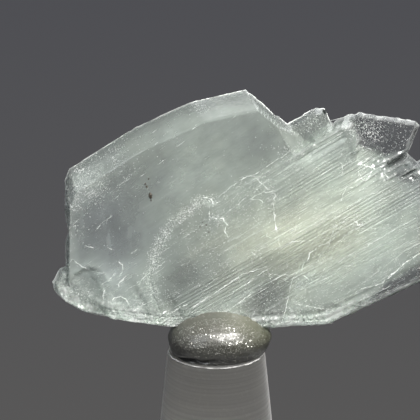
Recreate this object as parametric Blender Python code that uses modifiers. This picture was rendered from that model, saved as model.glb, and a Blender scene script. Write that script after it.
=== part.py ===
"""A tabular barite crystal held upright by a lump of putty on a small clear stand.

Lengths are in metres. The crystal is modelled in its own frame: X runs along the blades,
Y runs across them and Z points out of the broad front face. An empty then turns that frame
so that the blades rise to the right, leans it back a little and sets it on the putty.
The stand's axis is the world's Z axis, with the table at height 0.
"""

import math

import bmesh
import bpy
from mathutils import Matrix, Vector

MM = 0.001

# Stand: a turned cone of clear plastic with a plain round foot.
STAND_HEIGHT = 26.0 * MM
STAND_TOP_RADIUS = 6.05 * MM
STAND_TAPER = 0.102
FOOT_RADIUS = 12.5 * MM
FOOT_HEIGHT = 2.2 * MM
FOOT_FILLET = 2.6 * MM
EDGE_CHAMFER = 0.3 * MM
TURNED_STEPS = 48
FILLET_STEPS = 5

# Crystal: how it stands, and the habit that all its tablets share.
LEAN_BACK = math.radians(12)
BLADE_RISE = math.radians(30)
SEAT = Vector((0, 1.5 * MM, STAND_HEIGHT + 2.4 * MM))
PLATE_HALF = 3.4 * MM
STOCK = 160 * MM
GAP = 0.3 * MM

# Putty: a squashed ball, its half sizes, how high its centre stands above the stand, how
# much deeper it is below that, and how uneven its outline and its top are.
PUTTY_HALF = Vector((6.35 * MM, 5.8 * MM, 3.2 * MM))
PUTTY_CENTRE_UP = 1.9 * MM
PUTTY_BELLY = 1.3
PUTTY_DENTS = 0.05
PUTTY_RIGHT_NOSE = 0.14
PUTTY_HUMP = 0.35 * MM


def clear_scene():
    for old in list(bpy.data.objects):
        bpy.data.objects.remove(old, do_unlink=True)


def new_collection(name, helper=False):
    made = bpy.data.collections.new(name)
    bpy.context.scene.collection.children.link(made)
    made.hide_render = helper
    return made


def material(name, colour, roughness, transmission=0.0, ior=1.5):
    made = bpy.data.materials.new(name)
    made.use_nodes = True
    shader = made.node_tree.nodes["Principled BSDF"]
    shader.inputs["Base Color"].default_value = (*colour, 1)
    shader.inputs["Roughness"].default_value = roughness
    shader.inputs["Metallic"].default_value = 0.0
    shader.inputs["Transmission Weight"].default_value = transmission
    shader.inputs["IOR"].default_value = ior
    return made


def as_object(name, bm, collection, parent=None, helper=False):
    """Puts a bmesh into a new object and frees it."""
    mesh = bpy.data.meshes.new(name)
    bmesh.ops.recalc_face_normals(bm, faces=bm.faces)
    bm.to_mesh(mesh)
    bm.free()
    made = bpy.data.objects.new(name, mesh)
    made.parent = parent
    collection.objects.link(made)
    if helper:
        made.hide_render = True
        made.display_type = "WIRE"
    return made


def cut(bm, point, normal):
    """Saws a convex block along a plane, takes away the side that normal points to and closes it."""
    geometry = bm.verts[:] + bm.edges[:] + bm.faces[:]
    bmesh.ops.bisect_plane(
        bm, geom=geometry, dist=1e-8, plane_co=point, plane_no=normal, clear_outer=True
    )
    rim = [edge for edge in bm.edges if edge.is_boundary]
    if rim:
        bmesh.ops.holes_fill(bm, edges=rim)


def tablet(plan, rim, front, back, front_run, back_run, margin=0.0):
    """A bevelled tablet as a bmesh.

    plan lists the rim's corners anticlockwise as (along, across), in millimetres, and rim,
    front and back are the heights of the rim and of the two broad faces. Each side of the
    plan is a pair of bevels, which lean in by front_run and back_run on the way to the
    faces. A run is one number, or one for each side. margin moves every face outwards.
    """
    count = len(plan)
    front_runs = front_run if isinstance(front_run, (list, tuple)) else [front_run] * count
    back_runs = back_run if isinstance(back_run, (list, tuple)) else [back_run] * count
    bm = bmesh.new()
    bmesh.ops.create_cube(bm, size=STOCK)
    up = Vector((0, 0, 1))
    planes = [(up * front * MM, up), (up * back * MM, -up)]
    for i, (x, y) in enumerate(plan):
        next_x, next_y = plan[(i + 1) % count]
        corner = Vector((x, y, rim)) * MM
        outward = Vector((next_y - y, x - next_x, 0)).normalized()
        planes.append((corner, outward * (front - rim) + up * front_runs[i]))
        planes.append((corner, outward * (rim - back) - up * back_runs[i]))
    for point, normal in planes:
        normal = normal.normalized()
        cut(bm, point + normal * margin, normal)
    return bm


# The tablets that are intergrown in the crystal, in millimetres: the rim's corners as
# (along, across), then the heights of rim, front and back, then the bevels' runs.

BIG_PLATE = dict(
    plan=[
        (-8.6, 3.7),
        (21.4, 3.7),
        (21.5, 14.8),
        (18.1, 24.0),
        (11.3, 26.1),
        (4.0, 26.8),
        (-5.9, 26.4),
        (-7.4, 25.6),
        (-8.3, 24.1),
        (-13.0, 15.5),
        (-13.4, 12.2),
    ],
    rim=0.0,
    front=PLATE_HALF / MM,
    back=-PLATE_HALF / MM,
    front_run=[0.6, 0.4, 0.8, 2.5, 2.7, 2.6, 1.8, 1.3, 0.9, 1.2, 1.4],
    back_run=[0.6, 0.4, 1.3, 2.6, 2.2, 2.4, 1.8, 1.4, 1.2, 1.0, 1.6],
)

BLADES = {
    "root": dict(
        plan=[
            (-4.0, 2.0), (4.0, -3.4), (12.0, -6.0), (25.0, -6.2),
            (29.5, -4.4), (30.5, 5.0), (25.0, 12.0), (-4.0, 14.0),
        ],
        rim=0.0, front=2.5, back=-2.6, front_run=0.5, back_run=0.6,
    ),
    "small_blade": dict(
        plan=[(12.0, 13.6), (25.3, 13.9), (25.3, 17.0), (24.4, 17.7), (12.0, 17.7)],
        rim=-1.0, front=0.6, back=-2.5, front_run=0.7, back_run=0.8,
    ),
    "clear_blade": dict(
        plan=[(10.0, 7.0), (31.6, 7.2), (34.5, 9.4), (34.3, 10.2), (28.8, 14.7), (10.0, 14.6)],
        rim=0.7, front=2.3, back=-1.3, front_run=0.7, back_run=1.0,
    ),
    "upper_blade": dict(
        plan=[(4.0, 8.7), (26.0, 8.7), (28.4, 11.6), (28.5, 14.6), (27.3, 15.1), (4.0, 14.7)],
        rim=0.4, front=3.75, back=-2.8, front_run=[0.9, 1.4, 1.6, 1.3, 0.7, 0.7], back_run=1.2,
    ),
    "upper_rib": dict(
        plan=[(2.4, 9.5), (27.9, 10.2), (28.2, 11.9), (2.4, 11.3)],
        rim=0.6, front=4.15, back=-3.1, front_run=0.8, back_run=1.0,
    ),
    "second_blade": dict(
        plan=[(6.0, 4.8), (32.3, 4.8), (31.4, 7.25), (6.0, 7.4)],
        rim=0.1, front=3.15, back=-2.1, front_run=0.7, back_run=0.9,
    ),
    "second_rib": dict(
        plan=[(8.0, 6.2), (29.8, 6.9), (29.2, 8.5), (8.0, 7.9)],
        rim=0.5, front=3.95, back=-2.9, front_run=0.9, back_run=0.9,
    ),
    "third_blade": dict(
        plan=[(-1.0, 2.8), (34.7, 2.9), (36.2, 4.3), (35.4, 5.7), (-1.0, 5.5)],
        rim=0.3, front=4.0, back=-3.1, front_run=[0.8, 1.1, 1.1, 0.7, 0.8], back_run=0.9,
    ),
    "fourth_blade": dict(
        plan=[
            (13.0, -0.9), (33.5, -0.9), (35.1, 0.9), (34.2, 3.4),
            (19.3, 3.7), (14.5, 2.1), (12.4, 0.5),
        ],
        rim=-0.3, front=3.45, back=-3.6, front_run=0.9, back_run=1.1,
    ),
    "fourth_rib": dict(
        plan=[(-0.6, -0.8), (5.0, -0.4), (31.2, 0.9), (31.0, 2.6), (5.0, 1.4), (-0.6, 0.9)],
        rim=0.2, front=3.3, back=-3.0, front_run=0.9, back_run=1.0,
    ),
    "lower_blade": dict(
        plan=[
            (5.0, -6.0), (12.7, -6.8), (24.9, -7.8), (30.4, -8.0), (33.1, -4.9),
            (33.3, -1.4), (31.4, 0.7), (11.6, 0.7), (7.4, -3.0),
        ],
        rim=-0.5, front=2.9, back=-3.2,
        front_run=[1.2, 1.9, 1.9, 1.3, 1.2, 0.8, 0.6, 0.6, 0.5], back_run=1.5,
    ),
    "lower_rib": dict(
        plan=[(6.8, -3.8), (30.6, -3.4), (31.2, -1.6), (8.6, -2.2)],
        rim=0.0, front=3.4, back=-2.6, front_run=0.9, back_run=0.9,
    ),
    "foot_ledge": dict(
        plan=[(-9.4, 4.6), (-8.0, -1.0), (1.0, -5.0), (4.2, -0.9), (9.3, 2.8), (9.3, 4.6)],
        rim=-0.2, front=2.9, back=-2.9, front_run=0.5, back_run=0.7,
    ),
    "foot_facet": dict(
        plan=[(-7.0, 3.0), (-2.0, -9.0), (13.0, -9.0), (12.8, 1.6), (9.0, 3.2)],
        rim=0.1, front=2.2, back=-2.4, front_run=0.7, back_run=0.8,
    ),
    "broken_lump": dict(
        plan=[
            (-15.3, 13.9), (-15.0, 12.2), (-13.6, 10.1), (-9.0, 5.8),
            (-5.0, 8.0), (-9.0, 15.6), (-13.2, 16.2), (-14.9, 15.2),
        ],
        rim=-0.2, front=2.5, back=-2.8, front_run=1.5, back_run=1.7,
    ),
}

# Growth layers that lie on the broad faces. side is 1 for the front and -1 for the back.
LAYERS = {
    "green_layer": dict(
        plan=[(-9.3, 7.4), (-6.2, 4.5), (21.0, 4.5), (21.0, 14.1), (2.7, 14.1), (-1.6, 12.0)],
        top=3.64, side=1,
    ),
    "ridge_layer": dict(
        plan=[(5.4, 12.0), (25.6, 12.3), (25.4, 13.7), (7.8, 13.5)],
        top=4.02, side=1,
    ),
    "middle_layer": dict(
        plan=[(12.0, 5.1), (28.6, 5.6), (26.6, 8.4), (25.0, 11.2), (14.7, 11.2)],
        top=3.82, side=1,
    ),
    "lower_layer": dict(
        plan=[(14.2, -5.0), (30.0, -5.2), (31.0, -3.4), (12.9, -3.2)],
        top=3.16, side=1,
    ),
    "end_layer": dict(
        plan=[(20.6, -0.2), (32.8, 0.0), (32.6, 2.6), (22.2, 2.8)],
        top=3.74, side=1,
    ),
    "back_layer": dict(
        plan=[(-10.6, 13.4), (-4.0, 5.0), (19.2, 6.0), (15.6, 20.6), (-2.4, 22.0)],
        top=3.72, side=-1,
    ),
    "back_ridge_layer": dict(
        plan=[(-1.4, 1.2), (13.0, -3.4), (29.0, -2.2), (26.0, 3.6), (-3.0, 6.4)],
        top=3.9, side=-1,
    ),
    "back_top_layer": dict(
        plan=[(2.0, 15.0), (8.0, 9.2), (18.4, 9.4), (14.0, 17.8)],
        top=4.08, side=-1,
    ),
}
LAYER_DEPTH = 1.4
LAYER_SLOPE = 0.7

# Fine growth ridges that run the length of the blades: where each lies across them, where it
# starts and ends, its height and its side.
RIDGES = [
    (13.5, 9.0, 26.2, 4.12, 1),
    (12.3, 14.0, 27.2, 4.16, 1),
    (8.9, 13.0, 25.6, 4.06, 1),
    (7.9, 1.0, 13.0, 3.78, 1),
    (5.5, 15.4, 30.6, 3.98, 1),
    (4.9, 3.2, 33.6, 4.16, 1),
    (3.4, -4.0, 9.6, 3.62, 1),
    (3.3, 17.0, 34.2, 4.14, 1),
    (0.2, 15.0, 33.2, 3.68, 1),
    (-1.0, 11.0, 31.2, 3.14, 1),
    (-3.9, 16.6, 29.2, 3.46, 1),
    (14.2, -7.0, 12.0, 3.90, -1),
    (11.4, -2.0, 16.4, 4.26, -1),
    (8.2, 3.0, 24.0, 4.04, -1),
    (4.3, 6.0, 31.0, 4.12, -1),
    (0.4, 4.0, 29.4, 4.16, -1),
    (-2.2, 12.0, 26.4, 4.10, -1),
]
RIDGE_HALF_WIDTH = 0.55
RIDGE_RISE = 0.5
RIDGE_TAPER = 1.6

# What the break along the foot left whole, as a tablet that holds the rest of the crystal.
# Its right, upper and left sides, and its broad faces, lie outside the crystal.
BREAK = dict(
    plan=[
        (-16.6, 17.2), (-15.2, 13.6), (-14.4, 11.6), (-13.0, 9.4), (-7.3, 4.7), (-4.2, 2.4),
        (5.4, -3.3), (11.9, -6.6), (40.0, -14.5), (45.0, 30.0), (-20.0, 34.0),
    ],
    rim=-0.3, front=7.0, back=-7.0,
    front_run=[1.8, 3.0, 3.4, 2.6, 4.2, 1.6, 2.4, 0.0, 0.0, 0.0, 0.0],
    back_run=[2.6, 2.4, 2.0, 3.6, 2.2, 3.0, 1.8, 0.0, 0.0, 0.0, 0.0],
)

# Shallow conchoidal scoops along the break: where each is centred, how deep it bites below
# the height given, its radius and its side.
SCOOPS = [
    (-11.6, 12.6, 2.0, 3.6, 1),
    (-7.4, 8.6, 2.6, 3.4, 1),
    (-3.4, 4.4, 2.5, 3.0, 1),
    (-9.6, 10.6, 2.3, 4.4, -1),
    (1.2, 0.8, 2.2, 3.2, -1),
]


def layer_tablet(plan, top, side, margin):
    """A thin tablet on one broad face, rooted inside the crystal, with steep bevelled edges."""
    root = top - LAYER_DEPTH
    run = LAYER_DEPTH * LAYER_SLOPE
    footprint = grown(plan, run * 0.8)
    if side > 0:
        return tablet(footprint, root, top, root - LAYER_DEPTH, run, 0.0, margin)
    return tablet(footprint, -root, LAYER_DEPTH - root, -top, 0.0, run, margin)


def grown(plan, by):
    """plan scaled about its middle so that its sides move out by about the distance given."""
    middle_x = sum(x for x, y in plan) / len(plan)
    middle_y = sum(y for x, y in plan) / len(plan)
    half_x = (max(x for x, y in plan) - min(x for x, y in plan)) / 2
    half_y = (max(y for x, y in plan) - min(y for x, y in plan)) / 2
    return [
        (
            middle_x + (x - middle_x) * (1 + by / half_x),
            middle_y + (y - middle_y) * (1 + by / half_y),
        )
        for x, y in plan
    ]


def ridge_tablet(across, start, end, top, side, margin):
    """A long low bar with slanting flanks and ends."""
    half = RIDGE_HALF_WIDTH
    shoulder = top - RIDGE_RISE
    root = shoulder - RIDGE_RISE
    plan = [
        (start, across - half),
        (end, across - half),
        (end - half, across + half),
        (start + half, across + half),
    ]
    run = [half * 0.7, RIDGE_TAPER, half * 0.7, RIDGE_TAPER]
    if side > 0:
        return tablet(plan, shoulder, top, root, run, 0.0, margin)
    return tablet(plan, -shoulder, -root, -top, 0.0, run, margin)


def scoop_ball(along, across, level, radius, side, margin):
    """A coarse ball that bites into one face as far as the level given."""
    bm = bmesh.new()
    bmesh.ops.create_icosphere(bm, subdivisions=2, radius=(radius * MM - margin))
    height = side * (level + radius)
    turn = Matrix.Rotation(0.4 * radius, 4, Vector((1, 2, 3)).normalized())
    place = Matrix.Translation(Vector((along, across, height)) * MM)
    bmesh.ops.transform(bm, matrix=place @ turn, verts=bm.verts)
    return bm


def boolean(obj, operation, operand):
    modifier = obj.modifiers.new(operation.title(), "BOOLEAN")
    modifier.operation = operation
    modifier.solver = "EXACT"
    if isinstance(operand, bpy.types.Collection):
        modifier.operand_type = "COLLECTION"
        modifier.collection = operand
    else:
        modifier.object = operand


def grow_crystal(name, seat, collection, margin=0.0):
    """The whole crystal as one object: its tablets united, then broken off along the foot.

    With a margin, the object is a helper that stands that far proud of the crystal all over.
    """
    helper = margin > 0
    pieces = new_collection(name + "_tablets", helper=True)
    saws = new_collection(name + "_break", helper=True)
    scoops = new_collection(name + "_scoops", helper=True)
    crystal = as_object(name, tablet(**BIG_PLATE, margin=margin), collection, seat, helper)
    for piece, shape in BLADES.items():
        as_object(f"{name}_{piece}", tablet(**shape, margin=margin), pieces, seat, True)
    for piece, shape in LAYERS.items():
        as_object(f"{name}_{piece}", layer_tablet(**shape, margin=margin), pieces, seat, True)
    for number, ridge in enumerate(RIDGES):
        as_object(f"{name}_ridge_{number}", ridge_tablet(*ridge, margin), pieces, seat, True)
    for number, scoop in enumerate(SCOOPS):
        as_object(f"{name}_scoop_{number}", scoop_ball(*scoop, margin), scoops, seat, True)
    unbroken = as_object(f"{name}_unbroken", tablet(**BREAK, margin=margin), saws, seat, True)
    boolean(crystal, "UNION", pieces)
    boolean(crystal, "INTERSECT", unbroken)
    boolean(crystal, "DIFFERENCE", scoops)
    return crystal


def make_putty(collection, mould):
    """A squashed ball with an uneven outline, flat where it sits and pressed round the crystal."""
    bm = bmesh.new()
    bmesh.ops.create_icosphere(bm, subdivisions=3, radius=1.0)
    for vert in bm.verts:
        x, y, z = vert.co
        dents = PUTTY_DENTS * math.sin(3 * x + 1) * math.cos(2 * y)
        nose = PUTTY_RIGHT_NOSE * max(x, 0) ** 6 * (1 - abs(z))
        swell = 1 + dents + nose
        deep = PUTTY_BELLY if z < 0 else 1.0
        vert.co.x = x * swell * PUTTY_HALF.x
        vert.co.y = y * swell * PUTTY_HALF.y
        vert.co.z = z * deep * PUTTY_HALF.z
        vert.co.z += PUTTY_CENTRE_UP + PUTTY_HUMP * math.cos(2.2 * x - 0.3)
    cut(bm, Vector((0, 0, GAP)), Vector((0, 0, -1)))
    putty = as_object("putty", bm, collection)
    putty.location = (0, 0, STAND_HEIGHT)
    boolean(putty, "DIFFERENCE", mould)
    return putty


def make_stand(collection):
    """A cone turned from clear plastic, as half its section swept once round the axis."""
    fillet_top = FOOT_HEIGHT + FOOT_FILLET
    waist = STAND_TOP_RADIUS + STAND_TAPER * (STAND_HEIGHT - fillet_top)
    profile = [
        (0, STAND_HEIGHT),
        (STAND_TOP_RADIUS - EDGE_CHAMFER, STAND_HEIGHT),
        (STAND_TOP_RADIUS, STAND_HEIGHT - EDGE_CHAMFER),
    ]
    for step in range(FILLET_STEPS + 1):
        angle = math.pi / 2 * step / FILLET_STEPS
        radius = waist + FOOT_FILLET * (1 - math.cos(angle))
        profile.append((radius, fillet_top - FOOT_FILLET * math.sin(angle)))
    profile += [
        (FOOT_RADIUS - EDGE_CHAMFER, FOOT_HEIGHT),
        (FOOT_RADIUS, FOOT_HEIGHT - EDGE_CHAMFER),
        (FOOT_RADIUS, EDGE_CHAMFER),
        (FOOT_RADIUS - EDGE_CHAMFER, 0),
        (0, 0),
    ]
    mesh = bpy.data.meshes.new("stand")
    edges = [(i, i + 1) for i in range(len(profile) - 1)]
    mesh.from_pydata([(r, 0, z) for r, z in profile], edges, [])
    stand = bpy.data.objects.new("stand", mesh)
    collection.objects.link(stand)
    turn = stand.modifiers.new("Turned", "SCREW")
    turn.steps = turn.render_steps = TURNED_STEPS
    turn.use_merge_vertices = True
    turn.merge_threshold = 0.00001
    return stand


def main():
    clear_scene()
    parts = new_collection("barite_crystal_on_stand")
    guides = new_collection("moulds", helper=True)

    seat = bpy.data.objects.new("crystal_seat", None)
    parts.objects.link(seat)
    seat.matrix_world = (
        Matrix.Translation(SEAT)
        @ Matrix.Rotation(math.pi / 2 - LEAN_BACK, 4, "X")
        @ Matrix.Rotation(BLADE_RISE, 4, "Z")
    )

    crystal = grow_crystal("crystal", seat, parts)
    mould = grow_crystal("crystal_mould", seat, guides, margin=GAP)
    putty = make_putty(parts, mould)
    stand = make_stand(parts)

    crystal.data.materials.append(material("barite", (0.72, 0.80, 0.77), 0.12, 0.8, 1.64))
    putty.data.materials.append(material("putty", (0.30, 0.30, 0.27), 0.45))
    stand.data.materials.append(material("clear_plastic", (0.90, 0.90, 0.88), 0.15, 0.9, 1.49))


main()
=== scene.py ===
"""A tabular barite crystal in grey putty on a small clear stand.

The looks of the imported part, from the foot up: stand, putty, crystal and what it holds, and
last the light and the camera. Lengths are in millimetres until a mesh is made.
"""

import math

import bmesh
import bpy
import numpy as np
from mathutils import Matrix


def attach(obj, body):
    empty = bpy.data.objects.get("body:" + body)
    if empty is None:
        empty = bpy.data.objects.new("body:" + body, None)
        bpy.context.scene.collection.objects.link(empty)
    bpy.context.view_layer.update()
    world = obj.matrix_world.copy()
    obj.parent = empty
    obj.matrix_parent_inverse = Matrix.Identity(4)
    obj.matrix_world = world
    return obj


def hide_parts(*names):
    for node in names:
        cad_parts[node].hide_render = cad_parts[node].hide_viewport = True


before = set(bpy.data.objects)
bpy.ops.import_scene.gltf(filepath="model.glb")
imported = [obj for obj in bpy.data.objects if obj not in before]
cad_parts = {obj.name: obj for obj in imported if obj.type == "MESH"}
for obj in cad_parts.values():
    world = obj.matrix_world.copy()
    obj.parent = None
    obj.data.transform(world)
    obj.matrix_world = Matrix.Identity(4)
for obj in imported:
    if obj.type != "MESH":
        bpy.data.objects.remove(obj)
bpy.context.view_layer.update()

MM = 0.001


# The stand: a cone turned from clear plastic on a lathe, with the tool's fine rings left on
# it and a burr round its top edge. It ends in a plain round foot.

STAND_HEIGHT = 26.0
STAND_TOP_RADIUS = 6.05
STAND_TAPER = 0.102
FOOT_RADIUS = 12.5
FOOT_HEIGHT = 2.2
FOOT_FILLET = 2.6
FOOT_CORNER = 0.3
TOP_CORNER = 0.12
RING_PITCH = 0.38
RING_DEPTH = 0.007
STAND_TURNS = 144
PLASTIC_COLOUR = (0.66, 0.65, 0.61, 1)
BURR_COLOUR = (0.62, 0.62, 0.60, 1)
BURR_RADIUS = 5.98
BURR_HALF = 0.10


def noise(x, y, seed):
    """Smooth random values from -1 to 1.

    A lattice of random numbers, blended between its corners by the step 3t^2 - 2t^3.
    """
    lattice = np.random.default_rng(seed).uniform(-1, 1, (128, 128))
    left, low = np.floor(x).astype(int), np.floor(y).astype(int)
    s, t = x - left, y - low
    s, t = s * s * (3 - 2 * s), t * t * (3 - 2 * t)
    row, next_row = low % 128, (low + 1) % 128
    column, next_column = left % 128, (left + 1) % 128
    near = lattice[row, column] * (1 - s) + lattice[row, next_column] * s
    far = lattice[next_row, column] * (1 - s) + lattice[next_row, next_column] * s
    return near * (1 - t) + far * t


def cloud(x, y, seed, octaves=4):
    """Noise added to itself at doubled frequencies and halved heights."""
    return sum(noise(x * 2**k, y * 2**k, seed + k) / 2**k for k in range(octaves)) / 1.6


def add_piece(name, points, quads, sharp_angle, attributes=()):
    """A mesh object from points in millimetres and quads; a quad may repeat a corner.

    Quads are split in two, triangles with a repeated corner are dropped, and so are points
    that no triangle uses. attributes are (name, kind, values for each point).
    """
    triangles = np.concatenate([quads[:, [0, 1, 2]], quads[:, [0, 2, 3]]])
    a, b, c = triangles.T
    triangles = triangles[(a != b) & (b != c) & (c != a)]
    used, corners = np.unique(triangles, return_inverse=True)
    mesh = bpy.data.meshes.new(name)
    mesh.vertices.add(used.size)
    mesh.vertices.foreach_set("co", (points[used] * MM).astype(np.float32).ravel())
    mesh.loops.add(corners.size)
    mesh.loops.foreach_set("vertex_index", corners.astype(np.int32).ravel())
    mesh.polygons.add(len(triangles))
    mesh.polygons.foreach_set("loop_start", np.arange(0, corners.size, 3, dtype=np.int32))
    mesh.update(calc_edges=True)
    mesh.validate()
    mesh.shade_smooth()
    mesh.set_sharp_from_angle(angle=math.radians(sharp_angle))
    for label, kind, values in attributes:
        layer = mesh.attributes.new(label, kind, "POINT")
        field = "vector" if kind == "FLOAT_VECTOR" else "value"
        layer.data.foreach_set(field, values[used].astype(np.float32).ravel())
    piece = bpy.data.objects.new(name, mesh)
    bpy.context.scene.collection.objects.link(piece)
    return piece


def turned(radius, height, turns):
    """A closed solid of revolution: the profile's points carried round the Z axis.

    Each point goes to (radius cos a, radius sin a, height) at evenly spaced angles a. Points on
    the axis are shared by all angles.
    """
    angle = np.linspace(0, 2 * np.pi, turns, endpoint=False)
    x = np.cos(angle)[:, None] * radius
    y = np.sin(angle)[:, None] * radius
    points = np.stack([x, y, height + 0 * x], axis=-1).reshape(-1, 3)
    step, along = np.meshgrid(np.arange(turns), np.arange(len(height)), indexing="ij")
    index = np.where(np.abs(radius).max(axis=0) < 1e-9, along, step * len(height) + along)
    after = np.roll(index, -1, axis=0)
    quads = np.stack([index[:, :-1], index[:, 1:], after[:, 1:], after[:, :-1]], axis=-1)
    return points, quads.reshape(-1, 4)


def stand_profile():
    """Radius and height from the top's centre, down the outside, to the foot's centre."""
    fillet_top = FOOT_HEIGHT + FOOT_FILLET
    cone = np.linspace(STAND_HEIGHT - TOP_CORNER, fillet_top, 300)
    cone_radius = STAND_TOP_RADIUS + STAND_TAPER * (STAND_HEIGHT - TOP_CORNER - cone)
    rings = 0.5 - 0.5 * np.cos(2 * np.pi * cone / RING_PITCH)
    uneven = 1.0 + 0.8 * noise(cone * 0.9, 0 * cone, 11)
    cone_radius = cone_radius - RING_DEPTH * rings * uneven
    turn = np.linspace(0, np.pi / 2, 12)[1:]
    waist = STAND_TOP_RADIUS + STAND_TAPER * (STAND_HEIGHT - fillet_top)
    fillet_radius = waist + FOOT_FILLET * (1 - np.cos(turn)) - 0.02
    fillet = fillet_top - FOOT_FILLET * np.sin(turn)
    round_out = np.linspace(0, np.pi / 2, 6)
    rim = FOOT_RADIUS - FOOT_CORNER
    top_edge = rim + FOOT_CORNER * np.sin(round_out)
    bottom_edge = rim + FOOT_CORNER * np.cos(round_out)
    flat = np.array([0, 2.0, 4.0, 5.2, STAND_TOP_RADIUS - TOP_CORNER])
    radius = np.concatenate([flat, cone_radius, fillet_radius, top_edge, bottom_edge, [6.0, 0]])
    height = np.concatenate([
        0 * flat + STAND_HEIGHT - 0.01,
        cone,
        fillet,
        FOOT_HEIGHT - FOOT_CORNER * (1 - np.cos(round_out)),
        FOOT_CORNER * (1 - np.sin(round_out)),
        [0, 0],
    ])
    return radius, height


def new_material(name):
    """A material with its Principled shader, and its node tree."""
    made = bpy.data.materials.new(name)
    made.use_nodes = True
    return made, made.node_tree, made.node_tree.nodes["Principled BSDF"]


def node(tree, kind, values=(), **settings):
    """Adds a node, sets its properties, and sets or links its inputs.

    values are (input, value) pairs, where a value that is an output socket is linked.
    """
    made = tree.nodes.new(kind)
    for key, value in settings.items():
        setattr(made, key, value)
    for key, value in values:
        if isinstance(value, bpy.types.NodeSocket):
            tree.links.new(value, made.inputs[key])
        else:
            made.inputs[key].default_value = value
    return made


def maths(tree, operation, first, second=0.0, clamp=False):
    """One sum of two values or sockets."""
    pair = [(0, first), (1, second)]
    return node(tree, "ShaderNodeMath", pair, operation=operation, use_clamp=clamp).outputs[0]


def blend(tree, share, first, second):
    """A colour between two colours or sockets."""
    values = [(0, share), (6, first), (7, second)]
    return node(tree, "ShaderNodeMix", values, data_type="RGBA").outputs[2]


def spread(tree, value, low, high, to_low=0.0, to_high=1.0):
    """value mapped from low..high to to_low..to_high, and clamped."""
    values = [(0, value), (1, low), (2, high), (3, to_low), (4, to_high)]
    return node(tree, "ShaderNodeMapRange", values).outputs[0]


def speckle_group():
    """Fine grain: a mask of scattered dots and a slow mottle, at a size given in metres."""
    group = bpy.data.node_groups.new("fine_grain", "ShaderNodeTree")
    face = group.interface
    face.new_socket("Place", in_out="INPUT", socket_type="NodeSocketVector")
    face.new_socket("Scale", in_out="INPUT", socket_type="NodeSocketFloat")
    face.new_socket("Dots", in_out="OUTPUT", socket_type="NodeSocketFloat")
    face.new_socket("Mottle", in_out="OUTPUT", socket_type="NodeSocketFloat")
    ends_in = group.nodes.new("NodeGroupInput")
    ends_out = group.nodes.new("NodeGroupOutput")
    place, scale = ends_in.outputs["Place"], ends_in.outputs["Scale"]
    dots = node(group, "ShaderNodeTexNoise", [("Vector", place), ("Scale", scale), ("Detail", 3)])
    slow = maths(group, "MULTIPLY", scale, 0.12)
    mottle = node(group, "ShaderNodeTexNoise", [("Vector", place), ("Scale", slow), ("Detail", 4)])
    sharp = spread(group, dots.outputs[0], 0.56, 0.72)
    group.links.new(sharp, ends_out.inputs["Dots"])
    group.links.new(mottle.outputs[0], ends_out.inputs["Mottle"])
    return group


fine_grain = speckle_group()


def grain_of(tree, place, scale):
    """The fine grain group's dots and mottle in a material."""
    made = node(tree, "ShaderNodeGroup", node_tree=fine_grain)
    tree.links.new(place, made.inputs["Place"])
    made.inputs["Scale"].default_value = scale
    return made.outputs["Dots"], made.outputs["Mottle"]


def plastic_material():
    """Clear plastic left satin by the lathe: rings up its height, haze and a few scuffs."""
    made, tree, shader = new_material("satin_clear_plastic")
    place = node(tree, "ShaderNodeTexCoord").outputs["Object"]
    dots, mottle = grain_of(tree, place, 2600)
    height = node(tree, "ShaderNodeSeparateXYZ", [(0, place)]).outputs[2]
    uneven = node(
        tree, "ShaderNodeTexNoise", [("W", height), ("Scale", 2700), ("Detail", 2)],
        noise_dimensions="1D",
    ).outputs[0]
    tint = blend(tree, spread(tree, mottle, 0.35, 0.7), PLASTIC_COLOUR, (0.64, 0.63, 0.61, 1))
    tint = blend(tree, maths(tree, "MULTIPLY", dots, 0.35), tint, (0.95, 0.95, 0.94, 1))
    tint = blend(tree, spread(tree, uneven, 0.40, 0.60, 0.0, 0.45), tint, (0.42, 0.41, 0.39, 1))
    rough = spread(tree, uneven, 0.3, 0.7, 0.34, 0.50)
    relief = maths(tree, "ADD", uneven, maths(tree, "MULTIPLY", dots, 0.3))
    bump = node(tree, "ShaderNodeBump", [("Height", relief), ("Strength", 0.3), ("Distance", 1.5e-5)])
    tree.links.new(tint, shader.inputs["Base Color"])
    tree.links.new(rough, shader.inputs["Roughness"])
    tree.links.new(bump.outputs[0], shader.inputs["Normal"])
    shader.inputs["Transmission Weight"].default_value = 0.92
    shader.inputs["IOR"].default_value = 1.49
    shader.inputs["Sheen Weight"].default_value = 0.4
    shader.inputs["Sheen Roughness"].default_value = 0.45
    haze = node(
        tree, "ShaderNodeVolumeAbsorption", [("Color", (0.70, 0.69, 0.67, 1)), ("Density", 110)]
    )
    tree.links.new(haze.outputs[0], tree.nodes["Material Output"].inputs["Volume"])
    return made


profile_radius, profile_height = stand_profile()
profile_radius = np.broadcast_to(profile_radius, (STAND_TURNS, profile_radius.size)).copy()
round_angle = np.linspace(0, 2 * np.pi, STAND_TURNS, endpoint=False)[:, None]
near_top = np.clip((profile_height - STAND_HEIGHT + 0.5) / 0.5, 0, 1) * (profile_radius > 5.5)
profile_radius -= 0.05 * near_top * (1 + noise(round_angle * 9, 3 + 0 * round_angle, 5))
stand_points, stand_quads = turned(profile_radius, profile_height, STAND_TURNS)
clear_stand = add_piece("clear_stand", stand_points, stand_quads, 35)
clear_stand.data.materials.append(plastic_material())
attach(clear_stand, "root")
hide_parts("stand")


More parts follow.
